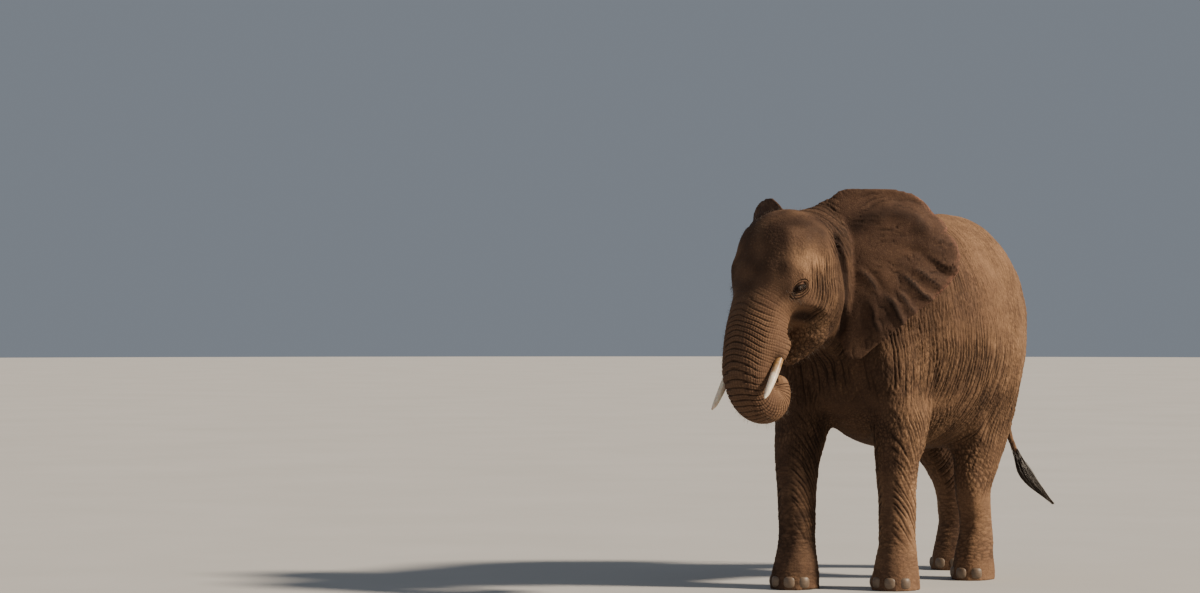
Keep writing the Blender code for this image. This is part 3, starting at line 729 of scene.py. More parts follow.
def anatomy(mesh):
    """Hollows, ridges and creases that a hand would find under the wrinkles."""
    co, normals = vertex_array(mesh), normal_array(mesh)
    head, body = folded(head_frame(co)), body_frame(co)
    right = co[:, 0] - SHIFT[0] < 0
    body[right, 1] += 0.16 * ramp(1.9, 1.1, body[right, 2]) * (body[right, 1] < 0.6)
    ear = ear_lookup(co)[:, 0]
    face = (1 - ear) * ramp(-0.40, -0.52, co[:, 1] - SHIFT[1])
    rise = face * sum(mound(head, *row) for row in HEAD_MOUNDS)
    rise += face * sum(swelling(head, *row) for row in HEAD_RIDGES)
    rise += (1 - ear * ramp(1.95, 2.10, head[:, 2])) * swelling(head, BEHIND_CHEEK, 0.022, -0.036)
    rise += (1 - ear) * sum(swelling(body, *row) for row in SHOULDER_RIDGES)
    rise += sum(swelling(body, *row) for row in BODY_RIDGES) + mound(body, *HIP)
    write_vertices(mesh, co + normals * rise[:, None])


def plain_skin():
    mesh = flesh_mesh()
    co = vertex_array(mesh)
    ear = ear_lookup(co)[:, 0]
    _, y, z = (co - SHIFT).T
    head = ramp(-0.42, -0.56, y)
    low = ramp(1.0, 0.75, z)
    tail = ramp(1.78, 1.84, y) * ramp(1.95, 1.8, z)
    share = (1 - 0.72 * head) * (1 - 0.5 * low) * (1 - 0.93 * ear) * (1 - 0.93 * tail)
    share[z < 0.012] = 0.0  # the soles stay flat
    smoothed(mesh, SMOOTHING, share)
    grow = HIDE * share * (1 - 0.6 * head)
    write_vertices(mesh, vertex_array(mesh) + normal_array(mesh) * grow[:, None])
    anatomy(mesh)
    return mesh


# ---------------------------------------------------------------- unwrap and finer mesh
def unwrapped(mesh):
    """Lays the plain skin out flat: one chart for each node of flesh and way of facing."""
    corners, faces, owner = [], [], []
    for n, node in enumerate([*FLESH, "ear_left", "ear_right"]):
        data = frame["nodes"][node].data
        base = len(corners)
        corners += [v.co.copy() for v in data.vertices]
        faces += [tuple(base + v for v in p.vertices) for p in data.polygons]
        owner += [n] * len(data.polygons)
    tree = BVHTree.FromPolygons(corners, faces)
    centres, normals = (read(mesh.polygons, name, 3) for name in ("center", "normal"))
    node = np.array([owner[tree.find_nearest(Vector(c))[2]] for c in centres])
    axis = np.abs(normals).argmax(1)
    chart = node * 6 + axis * 2 + (normals[np.arange(len(axis)), axis] > 0)
    totals = read(mesh.polygons, "loop_total", 1, np.int32)
    chart, axis = np.repeat(chart, totals), np.repeat(axis, totals)
    x, y, z = vertex_array(mesh)[read(mesh.loops, "vertex_index", 1, np.int32)].T
    flat = columns(np.where(axis == 0, y, x), np.where(axis == 2, y, z))
    boxes = []
    for c in np.unique(chart):
        own = flat[chart == c]
        boxes.append((c, own.min(0), own.max(0) - own.min(0)))
    boxes.sort(key=lambda box: -box[2][1])
    width, gap = 4.2, 0.02
    left = top = row = 0.0
    shift = np.zeros((int(chart.max()) + 1, 2))
    for c, low, size in boxes:
        if left + size[0] + gap > width:
            left, top, row = 0.0, top + row + gap, 0.0
        shift[c] = np.array((left, top)) - low
        left += size[0] + gap
        row = max(row, size[1])
    set_map(mesh, (flat + shift[chart]) / max(width, top + row) * 0.996 + 0.002)


def eye_axes(name, side):
    """Centre of an eye, and its outward, upward and forward ways."""
    low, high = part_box(f"eye_{name}")
    out = head_point(side, 0, 0) - head_point(0, 0, 0)
    out = (out.normalized() + EYE_LIE).normalized()
    up = (Vector((0, 0, 1)) - out * out.z).normalized()
    fore = up.cross(out)
    return Vector((low + high) / 2), out, up, -fore if fore.y > 0 else fore


def refined(mesh):
    """Finer on the trunk and round the eyes, then once finer all over."""
    bm = bmesh.new()
    bm.from_mesh(mesh)
    co = np.array([v.co for v in bm.verts])
    radius, found = trunk_place(head_frame(co))
    trunk = (radius < 1.35) & (found[:, 0] > 0.22) & (ear_lookup(co)[:, 0] < 0.1)
    edges = [e for e in bm.edges if trunk[e.verts[0].index] and trunk[e.verts[1].index]]
    bmesh.ops.subdivide_edges(bm, edges=edges, cuts=1, use_grid_fill=True)
    for name, side in SIDES:
        spot = eye_axes(name, side)[0]
        edges = [e for e in bm.edges if (e.verts[0].co - spot).length < 0.095]
        bmesh.ops.subdivide_edges(bm, edges=edges, cuts=3, use_grid_fill=True)
    obj = new_object("fine", mesh_from(bm, "fine"))
    modifier = obj.modifiers.new("Subdivision", "SUBSURF")
    modifier.levels = modifier.render_levels = 1
    modifier.uv_smooth = "NONE"
    modifier.boundary_smooth = "ALL"
    return evaluated(obj)


class Places:
    """Where each vertex of the fine skin lies on the body, the head, the ears and the trunk."""

    def __init__(self, co):
        self.head, self.ear = head_frame(co), ear_lookup(co)
        self.is_ear = self.ear[:, 0]
        near = (self.head[:, 1] > -0.26) & (self.is_ear < 0.5) & (self.head[:, 2] > 0.9)
        self.trunk, self.is_trunk = np.zeros((len(co), 4)), np.zeros(len(co))
        radius, self.trunk[near] = trunk_place(self.head[near])
        self.is_trunk[near] = ramp(1.55, 1.22, radius) * ramp(0.10, 0.30, self.trunk[near, 0])


# ---------------------------------------------------------------- wrinkles
def lines(places, wave, reach, seed):
    """Depth, 0 to 1, in long creases about wave apart that wander, fade out and fork.

    Places are (across, through, along) the creases, in metres.
    """
    drift = 0.9 * noise(places / reach, seed + 40) + 0.20 * noise(places / (wave * 4.0), seed + 50)
    across, inward, along = places.T
    deepest = 0.0
    for number, (turn, spread, weight) in enumerate(((0.05, 1.0, 1.0), (-0.07, 1.37, 0.75))):
        phase = (across + turn * along) / (wave * spread) + drift
        nearest = np.round(phase)
        life = columns(nearest * 2.7, inward / reach, along / (0.5 * reach))
        keep = ramp(-0.50, 0.20, noise(life, seed + 60 + number)) * weight
        deepest = np.maximum(deepest, keep * bell((phase - nearest) / 0.23, 1.6))
    return deepest


def crackle(places, wave, reach, seed):
    """Depth, 0 to 1, in the net of creases round cells wave wide and reach long."""
    bend = columns(*(noise(places / (wave * 4.0), seed + more) for more in (40, 50)))
    across = places[:, :2] / wave + 0.45 * bend
    border = cells(np.column_stack([across, places[:, 2] / reach]), seed)
    return np.maximum(1.0 - border / 0.55, 0.0) ** 1.5


def wrinkle_layers(co, normals, lie):
    """(kind, where, places, wave, reach, depth) for the creases off the trunk and ears."""
    x, y, z = body_frame(co).T
    side, forward, height = lie.head.T
    right = co[:, 0] < SHIFT[0]
    bare = 1 - lie.is_ear
    head = ramp(-0.44, -0.56, y) * bare
    face = head * (1 - lie.is_trunk)
    fore_y = y - np.where(right, -0.31, 0.0) * ramp(2.0, 0.66, z)
    fore = ramp(1.30, 1.00, z) * ramp(0.62, 0.50, fore_y)
    hind = ramp(1.45, 1.12, z) * ramp(0.66, 0.82, y)
    torso = (1 - head) * (1 - fore) * (1 - ramp(1.1, 0.9, z) * ramp(0.66, 0.82, y)) * bare
    ahead = ramp(-0.50, -0.32, y)
    flank = torso * ahead * ramp(1.60, 0.85, y)
    flank = flank * (1 - 0.62 * ramp(0.45, 0.95, y) * ramp(1.35, 1.75, z))
    rump = torso * ramp(0.70, 1.20, y)
    shoulder = torso * ramp(0.44, 0.20, y) * ahead
    beside = ramp(0.15, 0.55, np.abs(normals[:, 0]))
    facing = ramp(0.15, 0.60, -normals[:, 1])
    nape = ramp(-0.20, -0.29, forward) * ramp(-0.02, -0.20, y) * ramp(2.00, 2.10, z) * bare
    cheek = face * ramp(0.12, 0.20, np.abs(side))
    cheek = cheek * ramp(-0.03, -0.10, forward) * ramp(-0.40, -0.35, forward)
    cheek = cheek * ramp(2.14, 1.88, height + 0.06 * noise(co / 0.10, 39))
    jaw = face * ramp(1.74, 1.60, z)
    upper, knee = fore * ramp(0.60, 0.80, z), fore * ramp(0.92, 0.74, z)
    thigh = hind * ramp(0.46, 0.62, z)

    # ways the creases run, as places (across, through, along) them
    swing = y + 0.34 * np.maximum(0.0, 1.50 - z) ** 1.4
    drop = 0.84 * np.maximum(0.0, 1.88 - height) + 0.20 * np.maximum(0.0, height - 1.88)
    plain = columns(x, y, z)
    upright = columns(swing, x, z)
    slung = columns(swing + 0.30 * (z - 1.4) * ramp(0.90, -0.50, y), x, z)
    slant, across = turned(z, x, y, 0.71, 0.71), turned(y, x, z, 0.71, -0.71)
    diagonal, hanging = turned(y, x, z, 0.86, 0.50), turned(y, x, z, 0.84, 0.55)
    rings = columns(z, 0.25 * x, 0.7 * (x + y))
    bows = columns(-np.hypot(forward - 0.05, drop), side, height)
    lips = turned(height, side, forward, 0.9, 0.45)
    return [
        (lines, flank * beside, slung, 0.0255, 0.75, 0.0110),
        (crackle, flank, upright, 0.021, 0.07, 0.0034),
        (crackle, rump, slant, 0.027, 0.060, 0.0030),
        (lines, rump * beside, upright, 0.026, 0.40, 0.0036),
        (lines, shoulder * beside, diagonal, 0.026, 0.60, 0.0030),
        (crackle, shoulder, across, 0.021, 0.05, 0.0030),
        (lines, shoulder * (1 - beside) * facing, plain, 0.034, 0.45, 0.0090),
        (lines, nape, hanging, 0.029, 0.50, 0.0070),
        (crackle, nape, hanging, 0.023, 0.08, 0.0034),
        (lines, cheek * (1 - 0.6 * jaw), bows, 0.0215, 0.60, 0.0130),
        (crackle, cheek, bows, 0.019, 0.05, 0.0020),
        (crackle, jaw, lips, 0.024, 0.045, 0.0060),
        (crackle, face, slant, 0.020, 0.04, 0.0018),
        (crackle, upper, upright, 0.020, 0.040, 0.0042),
        (lines, upper * beside, diagonal, 0.026, 0.35, 0.0050),
        (lines, knee * ramp(0.20, 0.36, z) * beside, diagonal, 0.025, 0.40, 0.0062),
        (crackle, knee * ramp(0.16, 0.30, z), rings, 0.022, 0.06, 0.0036),
        (crackle, fore * ramp(0.42, 0.24, z) * ramp(0.09, 0.15, z), rings, 0.021, 0.08, 0.0030),
        (crackle, ramp(0.17, 0.11, z) * ramp(0.01, 0.04, z), rings, 0.019, 0.05, 0.0026),
        (lines, thigh * beside, upright, 0.030, 0.60, 0.0100),
        (crackle, thigh, slant, 0.021, 0.05, 0.0036),
        (crackle, hind * ramp(0.64, 0.46, z) * ramp(0.09, 0.15, z), rings, 0.021, 0.08, 0.0030),
        (crackle, bare, upright, 0.0185, 0.026, 0.0010),
    ]


def trunk_rings(lie, rise, crease_shade):
    """Deep rings round the trunk, finer ones between them, and fine lines along it, with painted
    shade in their hollows.
    """
    pick = np.nonzero(lie.is_trunk > 0.01)[0]
    sure = lie.is_trunk[pick]
    length, angle, size, _ = lie.trunk[pick].T
    c, s = np.cos(angle), np.sin(angle)
    coarse = columns(c * size, s * size, length) / 0.07
    drift = 0.45 * noise(columns(c * 1.1, s * 1.1, length / 0.35), 61) + 0.08 * noise(coarse, 65)
    start = ramp(0.24, 0.50, length)
    spacing = 0.033 - 0.007 * ramp(0.7, 1.5, length)
    phase = length / spacing + drift - 1.2 * np.abs(s) ** 1.5
    number = np.round(phase)
    keep = 0.86 + 0.14 * ramp(-0.30, 0.35, noise(columns(number * 3.1, c * 0.7, s * 0.7), 62))
    groove = bell((phase - number) / 0.155, 1.7) * keep * start
    groove *= 1 - 0.75 * ramp(0.84, 0.98, np.abs(s)) * ramp(0.95, 0.70, length)
    some = 0.3 + 0.7 * ramp(-0.4, 0.3, noise(coarse * 0.8, 66))
    fine = 1 - (1 - ridges(2.0 * phase, 0.7)) * some
    lengthwise = ridges(angle * size / 0.0175 + 0.8 * noise(coarse * 0.6, 67), 0.7)
    rise[pick] += sure * (
        0.0020 * (0.25 + 0.75 * start) * (fine - 0.7)
        + 0.0022 * start * (lengthwise - 0.7) * ramp(-0.3, 0.3, c)
        - groove * (0.0040 + 0.0030 * (0.55 + 0.45 * c))
    )
    # painted shade in the rings and the lengthwise lines
    deep = np.maximum(0.66 * groove, 0.34 * (1 - fine) * (0.3 + 0.7 * start))
    deep = np.maximum(deep, 0.30 * (1 - lengthwise) * start)
    crease_shade[pick] = np.maximum(crease_shade[pick], sure * deep)


def ear_wrinkles(co, lie, rise, crease_shade):
    """Rays and a fringe towards the rim of the ears, rings at their root, and painted shade in
    them and in the slots between the folds.
    """
    pick = np.nonzero(lie.is_ear > 0.01)[0]
    sure, share, along, height, _ = lie.ear[pick].T
    away_a, away_h = along + EAR_FAN[0], height - EAR_FAN[1]
    left = co[pick, 0] > 0
    spot = columns(along + np.where(left, 0.0, 9.0), height, 0 * along)
    drift = 1.1 * noise(spot / 0.16, 71) + 0.4 * noise(spot / 0.05, 72)
    keep = ramp(-0.35, 0.35, noise(spot / 0.13, 73))
    low = ramp(2.30, 2.10, height)
    angle = np.arctan2(away_h, away_a)
    rays = ridges(angle * 9.0 + drift, 0.6)
    fringe = ridges(angle * 21.0 + 2.0 * drift) * low
    rings = 1 - ridges(np.hypot(away_h, away_a) / 0.030 + drift, 0.6)
    rings = rings * ramp(0.34, 0.06, share)
    slot = np.where(left, *(ear_folds(along, height, EAR_SEED[name])[1] for name, _ in SIDES))
    deep = (1 - rays) * keep * ramp(0.05, 0.5, share)
    fringe = ramp(0.45, 0.05, fringe) * low * ramp(0.55, 0.90, share) * (0.4 + 0.6 * keep)
    deep = np.maximum(deep, fringe)
    rise[pick] -= sure * (0.0040 * deep + 0.0030 * rings)
    # painted shade in the slots, rays, fringe and rings
    for cut in (slot * (0.75 + 0.25 * keep), 0.55 * deep, 0.5 * rings):
        crease_shade[pick] = np.maximum(crease_shade[pick], sure * cut)


def sculpt_eye(co, name, side):
    """Sculpts the lids, the folds round them and the opening; says how much painted shade each
    place gets and where the pink lid lies.
    """
    centre, out, up, fore = (np.array(axis) for axis in eye_axes(name, side))
    away = co - centre
    pick = np.nonzero((np.linalg.norm(away, axis=1) < 0.13) & (away @ out > -0.05))[0]
    a, b, h = (away[pick] @ axis for axis in (fore, up, out))
    b = b + 0.28 * a
    r = np.hypot(a, b * 1.12)
    # ball of the lids over the eye, in a shallow socket, then the opening in it
    lids = np.sqrt(np.maximum(LID_BALL**2 - (r * 0.84) ** 2, 0.0))
    blend = ramp(0.042, 0.018, r)
    target = h - 0.006 * bell((r - 0.040) / 0.012)
    target = target * (1 - blend) + np.maximum(lids, 0.004) * blend

    def arch(half, height):
        return height * np.sqrt(np.maximum(1 - (a / half) ** 2, 0.0))

    half, above, below = EYE_SLIT
    inside = np.minimum(arch(half, above) - b, b - arch(half, below))
    opening = ramp(-0.0014, 0.0014, inside) * (np.abs(a) < half)
    rim = bell((inside + 0.0035) / 0.0028) * (np.abs(a) < half * 1.15)
    target += 0.0024 * rim
    target = target * (1 - opening) - 0.012 * opening
    # arched folds above and below, and short ones off the front corner, with painted shade in them
    wobble = 0.0016 * noise(columns(a * 60, b * 60, 0 * a), 81)
    cut = 0.0 * a
    for reach, height, depth, width in EYE_FOLDS:
        line = bell((b + wobble - arch(reach, height)) / width)
        line = line * ramp(reach, 0.80 * reach, np.abs(a))
        target -= depth * line
        cut = np.maximum(cut, line * depth / 0.005)
    rays = bell(((0.80 * a - 0.60 * b + wobble) / 0.0125 % 1.0 - 0.5) / 0.18)
    rays = rays * bell((a - 0.040) / 0.022) * bell((b + 0.044) / 0.030)
    lid = bell((b - 0.0290) / 0.0075) * bell((a + 0.004) / 0.022)
    target += 0.0030 * lid - 0.0045 * rays
    edge = ramp(0.125, 0.085, np.linalg.norm(away[pick], axis=1))
    co[pick] += out * ((target - h) * edge)[:, None]
    # painted shade round the eye, as under the brow fold, and in the opening and at the lid rim,
    # partly the dark wet skin there
    shade = bell((a - 0.004) / 0.050, 4) * bell((b + 0.002) / 0.0230, 4) * (1 - 0.6 * lid)
    painted_shade = np.maximum(opening, np.maximum(rim * 0.8, shade))
    return pick, r, painted_shade, np.clip(np.maximum(cut, np.maximum(rays, shade)), 0, 1), lid


def wrinkled(mesh):
    """Moves every vertex for its creases.

    Returns where the vertices lay, how deep in the creases each one lies, which sets the painted
    shade there, and how much painted shade and pink an eye's lids give it.
    """
    co, normals = vertex_array(mesh), normal_array(mesh)
    lie = Places(co)
    rise, crease_shade, painted_shade, pink = np.zeros((4, len(co)))
    for number, layer in enumerate(wrinkle_layers(co, normals, lie)):
        kind, strength, places, wave, reach, depth = layer
        strength = strength * (1 - 0.9 * lie.is_trunk)
        pick = np.nonzero(strength > 0.02)[0]
        cut = kind(places[pick], wave, reach, number)
        patch = np.clip(0.90 + 0.6 * noise(places[pick] / 0.35, 90 + number), 0.35, 1.25)
        amount = strength[pick] * patch
        rise[pick] -= amount * depth * (cut - 0.25)
        # painted shade in the creases, stronger for deeper layers
        crease_shade[pick] = np.maximum(crease_shade[pick], amount * cut * min(0.85, depth / 0.0075))
    _, y, z = body_frame(co).T
    lumps = 0.0030 * noise(co / 0.13, 31) + 0.0050 * noise(co / 0.32, 32)
    rise += lumps * (1 - 0.7 * lie.is_ear) * (1 - 0.5 * ramp(-0.44, -0.56, y))
    trunk_rings(lie, rise, crease_shade)
    ear_wrinkles(co, lie, rise, crease_shade)
    rise *= ramp(0.004, 0.03, z) * (1 - 0.7 * ramp(1.74, 1.82, y) * ramp(1.95, 1.8, z))
    co += normals * rise[:, None]
    for name, side in SIDES:
        pick, r, shade, cut, lid = sculpt_eye(co, name, side)
        painted_shade[pick], pink[pick] = shade, lid
        crease_shade[pick] = np.maximum(crease_shade[pick] * ramp(0.045, 0.075, r), cut)
    co[:, 2] = np.maximum(co[:, 2], 0.0)
    write_vertices(mesh, co)
    return lie, crease_shade, painted_shade, pink


# ---------------------------------------------------------------- materials
class Nodes:
    """Short ways to make and join shader nodes."""

    def __init__(self, name):
        self.material = bpy.data.materials.new(name)
        self.material.use_nodes = True
        self.tree = self.material.node_tree
        self.shader = self.tree.nodes["Principled BSDF"]
        self.place = self.make("ShaderNodeTexCoord").outputs["Object"]

    def make(self, kind, values=(), **settings):
        node = self.tree.nodes.new(kind)
        for key, value in settings.items():
            setattr(node, key, value)
        for key, value in dict(values).items():
            self.put(node.inputs[key], value)
        return node

    def put(self, socket, value):
        if isinstance(value, bpy.types.NodeSocket):
            self.tree.links.new(value, socket)
        elif isinstance(value, tuple) and socket.type == "RGBA":
            socket.default_value = (*value, 1.0)
        else:
            socket.default_value = value

    def stretched(self, *scale):
        values = {"Vector": self.place, "Scale": scale}
        return self.make("ShaderNodeMapping", values).outputs["Vector"]

    def noise(self, scale, detail=4.0, roughness=0.55, where=None):
        values = {"Scale": scale, "Detail": detail, "Roughness": roughness}
        values["Vector"] = where or self.place
        return self.make("ShaderNodeTexNoise", values).outputs["Fac"]

    def ramp(self, value, low, high, start=0.0, end=1.0):
        values = {"Value": value, "From Min": low, "From Max": high}
        values |= {"To Min": start, "To Max": end}
        return self.make("ShaderNodeMapRange", values, clamp=True).outputs["Result"]

    def mix(self, share, first, second):
        node = self.make("ShaderNodeMix", {0: share, 6: first, 7: second}, data_type="RGBA")
        return node.outputs[2]

    def math(self, operation, first, second=0.0):
        return self.make("ShaderNodeMath", {0: first, 1: second}, operation=operation).outputs[0]

    def attribute(self, name, output="Fac"):
        return self.make("ShaderNodeAttribute", attribute_name=name).outputs[output]

    def bump(self, height, strength, distance, below=None):
        values = {"Height": height, "Strength": strength, "Distance": distance}
        if below is not None:
            values["Normal"] = below
        return self.make("ShaderNodeBump", values).outputs["Normal"]

    def finish(self, **values):
        for key, value in values.items():
            self.put(self.shader.inputs[key.replace("_", " ")], value)
        return self.material


def skin_material():
    m = Nodes("elephant_skin")
    split = m.make("ShaderNodeSeparateColor", {"Color": m.attribute("marks", "Color")})
    crease_shade, painted_shade, pink = split.outputs[:3]
    patches = m.noise(9.0, 6.0, 0.65)
    specks = m.noise(70.0, 4.0, 0.6)
    # pale dust and painted light from the markings, made patchy
    dusty_and_lit = m.math("MULTIPLY", m.attribute("dust_and_painted_light"), m.ramp(patches, 0.28, 0.60, 0.25, 1.0))
    rosy = m.math("MULTIPLY", pink, m.ramp(m.noise(38.0, 5.0, 0.7), 0.42, 0.60))
    net = m.make(
        "ShaderNodeTexVoronoi",
        {"Vector": m.place, "Scale": 95.0, "Randomness": 1.0},
        feature="DISTANCE_TO_EDGE",
    )
    grooves = m.ramp(net.outputs["Distance"], 0.0, 0.16)
    strands = m.noise(62.0, 3.0, 0.55, m.stretched(1.0, 1.0, 0.11))
    strands = m.math("ABSOLUTE", m.math("SUBTRACT", strands, 0.5))
    strands = m.ramp(strands, 0.0, 0.065, 1.0, 0.0)
    strands = m.math("MULTIPLY", m.attribute("strands"), strands)
    broad = m.ramp(m.noise(1.7, 5.0), 0.35, 0.65)
    colour = m.mix(broad, (0.088, 0.049, 0.034), (0.128, 0.070, 0.043))
    for share, over in (
        (m.ramp(patches, 0.42, 0.70, 0.0, 0.60), (0.052, 0.028, 0.020)),
        # pale dust and painted light
        (dusty_and_lit, (0.345, 0.200, 0.110)),
        (m.ramp(specks, 0.50, 0.75, 0.0, 0.42), (0.260, 0.155, 0.088)),
        (rosy, (0.400, 0.190, 0.130)),
        # painted shade from the markings and the eyes
        (m.ramp(painted_shade, 0.0, 1.0, 0.0, 0.88), (0.024, 0.014, 0.011)),
        # painted shade in the creases of the wrinkles, trunk, ears and eyes
        (m.ramp(crease_shade, 0.04, 0.66, 0.0, 0.90), (0.015, 0.009, 0.007)),
        # painted shade in the fine net of grooves, which also bump the surface
        (m.ramp(grooves, 0.0, 1.0, 0.25, 0.0), (0.030, 0.018, 0.012)),
        # painted shade in the fine upright creases
        (m.ramp(strands, 0.0, 1.0, 0.0, 0.70), (0.020, 0.012, 0.008)),
    ):
        colour = m.mix(share, colour, over)
    bumps = m.bump(m.noise(260.0, 3.0), 0.35, 0.0008)
    bumps = m.bump(m.math("SUBTRACT", 1.0, strands), 0.60, 0.0030, bumps)
    bumps = m.bump(grooves, 0.55, 0.0014, bumps)
    bumps = m.bump(m.noise(45.0, 5.0, 0.6), 0.50, 0.0030, bumps)
    rough = m.ramp(m.noise(20.0), 0.3, 0.7, 0.66, 0.86)
    return m.finish(Base_Color=colour, Roughness=rough, Normal=bumps, Specular_IOR_Level=0.08)


def ivory_material():
    m = Nodes("tusk_ivory")
    grain = m.noise(1.0, 5.0, where=m.stretched(90.0, 90.0, 9.0))
    stain = m.noise(28.0, 5.0)
    lip = m.math("ADD", m.attribute("root"), m.ramp(stain, 0.3, 0.7, -0.25, 0.25))
    colour = m.mix(m.ramp(grain, 0.35, 0.70), (0.78, 0.70, 0.58), (0.62, 0.50, 0.36))
    colour = m.mix(m.ramp(lip, 0.20, 0.85), colour, (0.34, 0.19, 0.070))
    colour = m.mix(m.ramp(stain, 0.60, 0.78, 0.0, 0.5), colour, (0.30, 0.20, 0.11))
    rough = m.ramp(stain, 0.3, 0.7, 0.26, 0.42)
    bumps = m.bump(grain, 0.25, 0.0008)
    return m.finish(Base_Color=colour, Roughness=rough, Normal=bumps, Subsurface_Weight=0.08)


def nail_material():
    m = Nodes("toenail_horn")
    rings = m.noise(1.0, 4.0, where=m.stretched(22.0, 22.0, 260.0))
    stain = m.noise(40.0, 5.0)
    colour = m.mix(m.ramp(rings, 0.35, 0.7), (0.155, 0.108, 0.072), (0.100, 0.068, 0.045))
    colour = m.mix(m.ramp(stain, 0.48, 0.70, 0.0, 0.75), colour, (0.095, 0.062, 0.040))
    return m.finish(Base_Color=colour, Roughness=0.52, Normal=m.bump(rings, 0.5, 0.0010))


def eye_material():
    m = Nodes("eyeball")
    ring = m.attribute("ring")
    rays = m.ramp(m.noise(900.0, 3.0), 0.35, 0.65)
    iris = m.mix(rays, (0.050, 0.024, 0.010), (0.105, 0.055, 0.022))
    iris = m.mix(m.ramp(ring, 0.40, 0.56), iris, (0.020, 0.010, 0.006))
    colour = m.mix(m.ramp(ring, 0.17, 0.20), (0.003, 0.003, 0.003), iris)
    colour = m.mix(m.ramp(ring, 0.56, 0.66), colour, (0.085, 0.052, 0.038))
    wet = {"Coat_Weight": 0.4, "Coat_Roughness": 0.03, "Specular_IOR_Level": 0.4}
    return m.finish(Base_Color=colour, Roughness=0.12, **wet)


def hair_material(name, root, tip, roughness):
    m = Nodes(name)
    streaks = m.ramp(m.noise(160.0, 3.0), 0.4, 0.7, 0.0, 0.5)
    colour = m.mix(streaks, m.mix(m.attribute("along"), root, tip), (0.085, 0.060, 0.042))
    return m.finish(Base_Color=colour, Roughness=roughness)


def floor_material():
    m = Nodes("studio_floor")
    cloud = m.ramp(m.noise(0.6, 3.0), 0.3, 0.7)
    colour = m.mix(cloud, (0.44, 0.43, 0.415), (0.47, 0.46, 0.445))
    return m.finish(Base_Color=colour, Roughness=0.9, Specular_IOR_Level=0.1)


# ---------------------------------------------------------------- the skin as a piece
# Painted shadow under the top roll of the ears: along, height.
EAR_ROLL = ((0.06, 2.20), (0.12, 2.28), (0.29, 2.335), (0.45, 2.30), (0.50, 2.20))


def markings(co, normals, lie):
    """How much painted shade darkens the hide where shadow falls, and how much dusting and painted
    light pale it, 0 to 1.
    """
    _, y, z = body_frame(co).T
    side_on, to_front, up = normals[:, 0], -normals[:, 1], normals[:, 2]
    _, forward, height = lie.head.T
    folded_head = folded(lie.head)
    ear = lie.is_ear
    bare = 1 - ear
    head = bare * ramp(-0.40, -0.52, y)
    mottle = noise(co / 0.11, 37)
    # mottles the painted shade on the face and crown
    shade_mottle = 0.85 + 0.6 * mottle
    outward = side_on * np.sign(co[:, 0] - SHIFT[0])
    fore = ramp(1.15, 0.90, z) * (y < 0.6)
    chest = bare * ramp(0.10, -0.10, y) * ramp(-0.55, -0.42, y) * ramp(1.75, 1.45, z)
    _, _, along, tall, _ = lie.ear.T
    sheet = columns(along, tall)
    # painted shade on the ear, which faces away from the key light, with mottled tone, a painted
    # shadow under the top roll and more painted shade low on the sheet
    ear_shade = 0.34 + 0.30 * noise(co / 0.14, 35) + 0.08 * ramp(2.05, 1.75, tall)
    ear_shade += swelling(sheet, EAR_ROLL, 0.05, 0.45) + mound(sheet, (0.16, 1.68), (0.13, 0.13), 0.30)

    def spot(*place):
        return head * mound(folded_head, *place)

    # Painted shade: the front of the face, the crown and upper temple, a painted shadow in the
    # cheek hollow, the mouth groove and the line between cheek and ear, the nape under the ear,
    # undersides, the inner hind legs, the chest, the ear and the front of the forelegs
    painted_shade_layers = (
        head * ramp(0.15, 0.75, to_front) * (0.46 * ramp(1.60, 1.95, height) + 0.16) * shade_mottle,
        spot((0.16, -0.10, 2.30), (0.22, 0.30, 0.14), 0.90) * shade_mottle,
        spot((0.26, -0.14, 2.20), (0.12, 0.16, 0.09), 0.85) * shade_mottle,
        spot(CHEEK_HOLLOW, (0.100, 0.066, 0.036), 1.5),
        head * swelling(folded_head, MOUTH, 0.026, 0.90),
        (1 - ear * ramp(1.95, 2.10, height)) * swelling(folded_head, BEHIND_CHEEK, 0.040, 1.4),
        bare * ramp(-0.24, -0.34, forward) * ramp(0.0, -0.15, y) * (0.48 + 0.3 * mottle),
        bare * ramp(0.1, -0.5, up) * ramp(0.5, 0.8, z) * (0.26 - 0.14 * head),
        ramp(-0.25, -0.75, outward) * ramp(1.25, 1.0, z) * ramp(0.60, 0.80, y) * 0.50,
        chest * ramp(0.25, 0.75, to_front) * 0.38,
        ear * ear_shade,
        fore * ramp(0.1, 0.7, to_front) * 0.15,
    )
    painted_shade = np.clip(np.max(painted_shade_layers, axis=0), 0, 1)
    low = ramp(1.80, 1.40, z) * (0.35 + 0.65 * ramp(0.12, 0.55, z))
    # Pale dust and painted light: paler on upward-facing skin and over the rump, a painted
    # highlight on the temple and the cheek behind it, and painted light on the jaw, the
    # outward-facing lower body and the forelegs
    dust_and_light_layers = (
        0.26 + 0.20 * ramp(0.1, 0.8, up),
        0.50 * ramp(0.55, 1.25, y) * ramp(0.9, 1.7, z),
        spot((0.27, -0.07, 2.04), (0.12, 0.15, 0.11), 0.65),
        spot((0.27, -0.22, 1.85), (0.15, 0.18, 0.22), 0.40),
        head * ramp(1.74, 1.62, height) * ramp(0.10, -0.02, forward) * 0.35,
        (1 - head) * ramp(0.1, 0.7, outward) * low * 0.46,
        fore * ramp(0.1, 0.6, -to_front) * 0.55,
        fore * ramp(0.0, 0.5, outward) * ramp(0.55, 0.0, to_front) * ramp(0.12, 0.50, z) * 0.70,
        fore * ramp(0.1, -0.5, outward) * 0.50,
    )
    return painted_shade, np.clip(sum(dust_and_light_layers) - 0.35 * ear, 0, 1) * (1 - 0.75 * painted_shade)


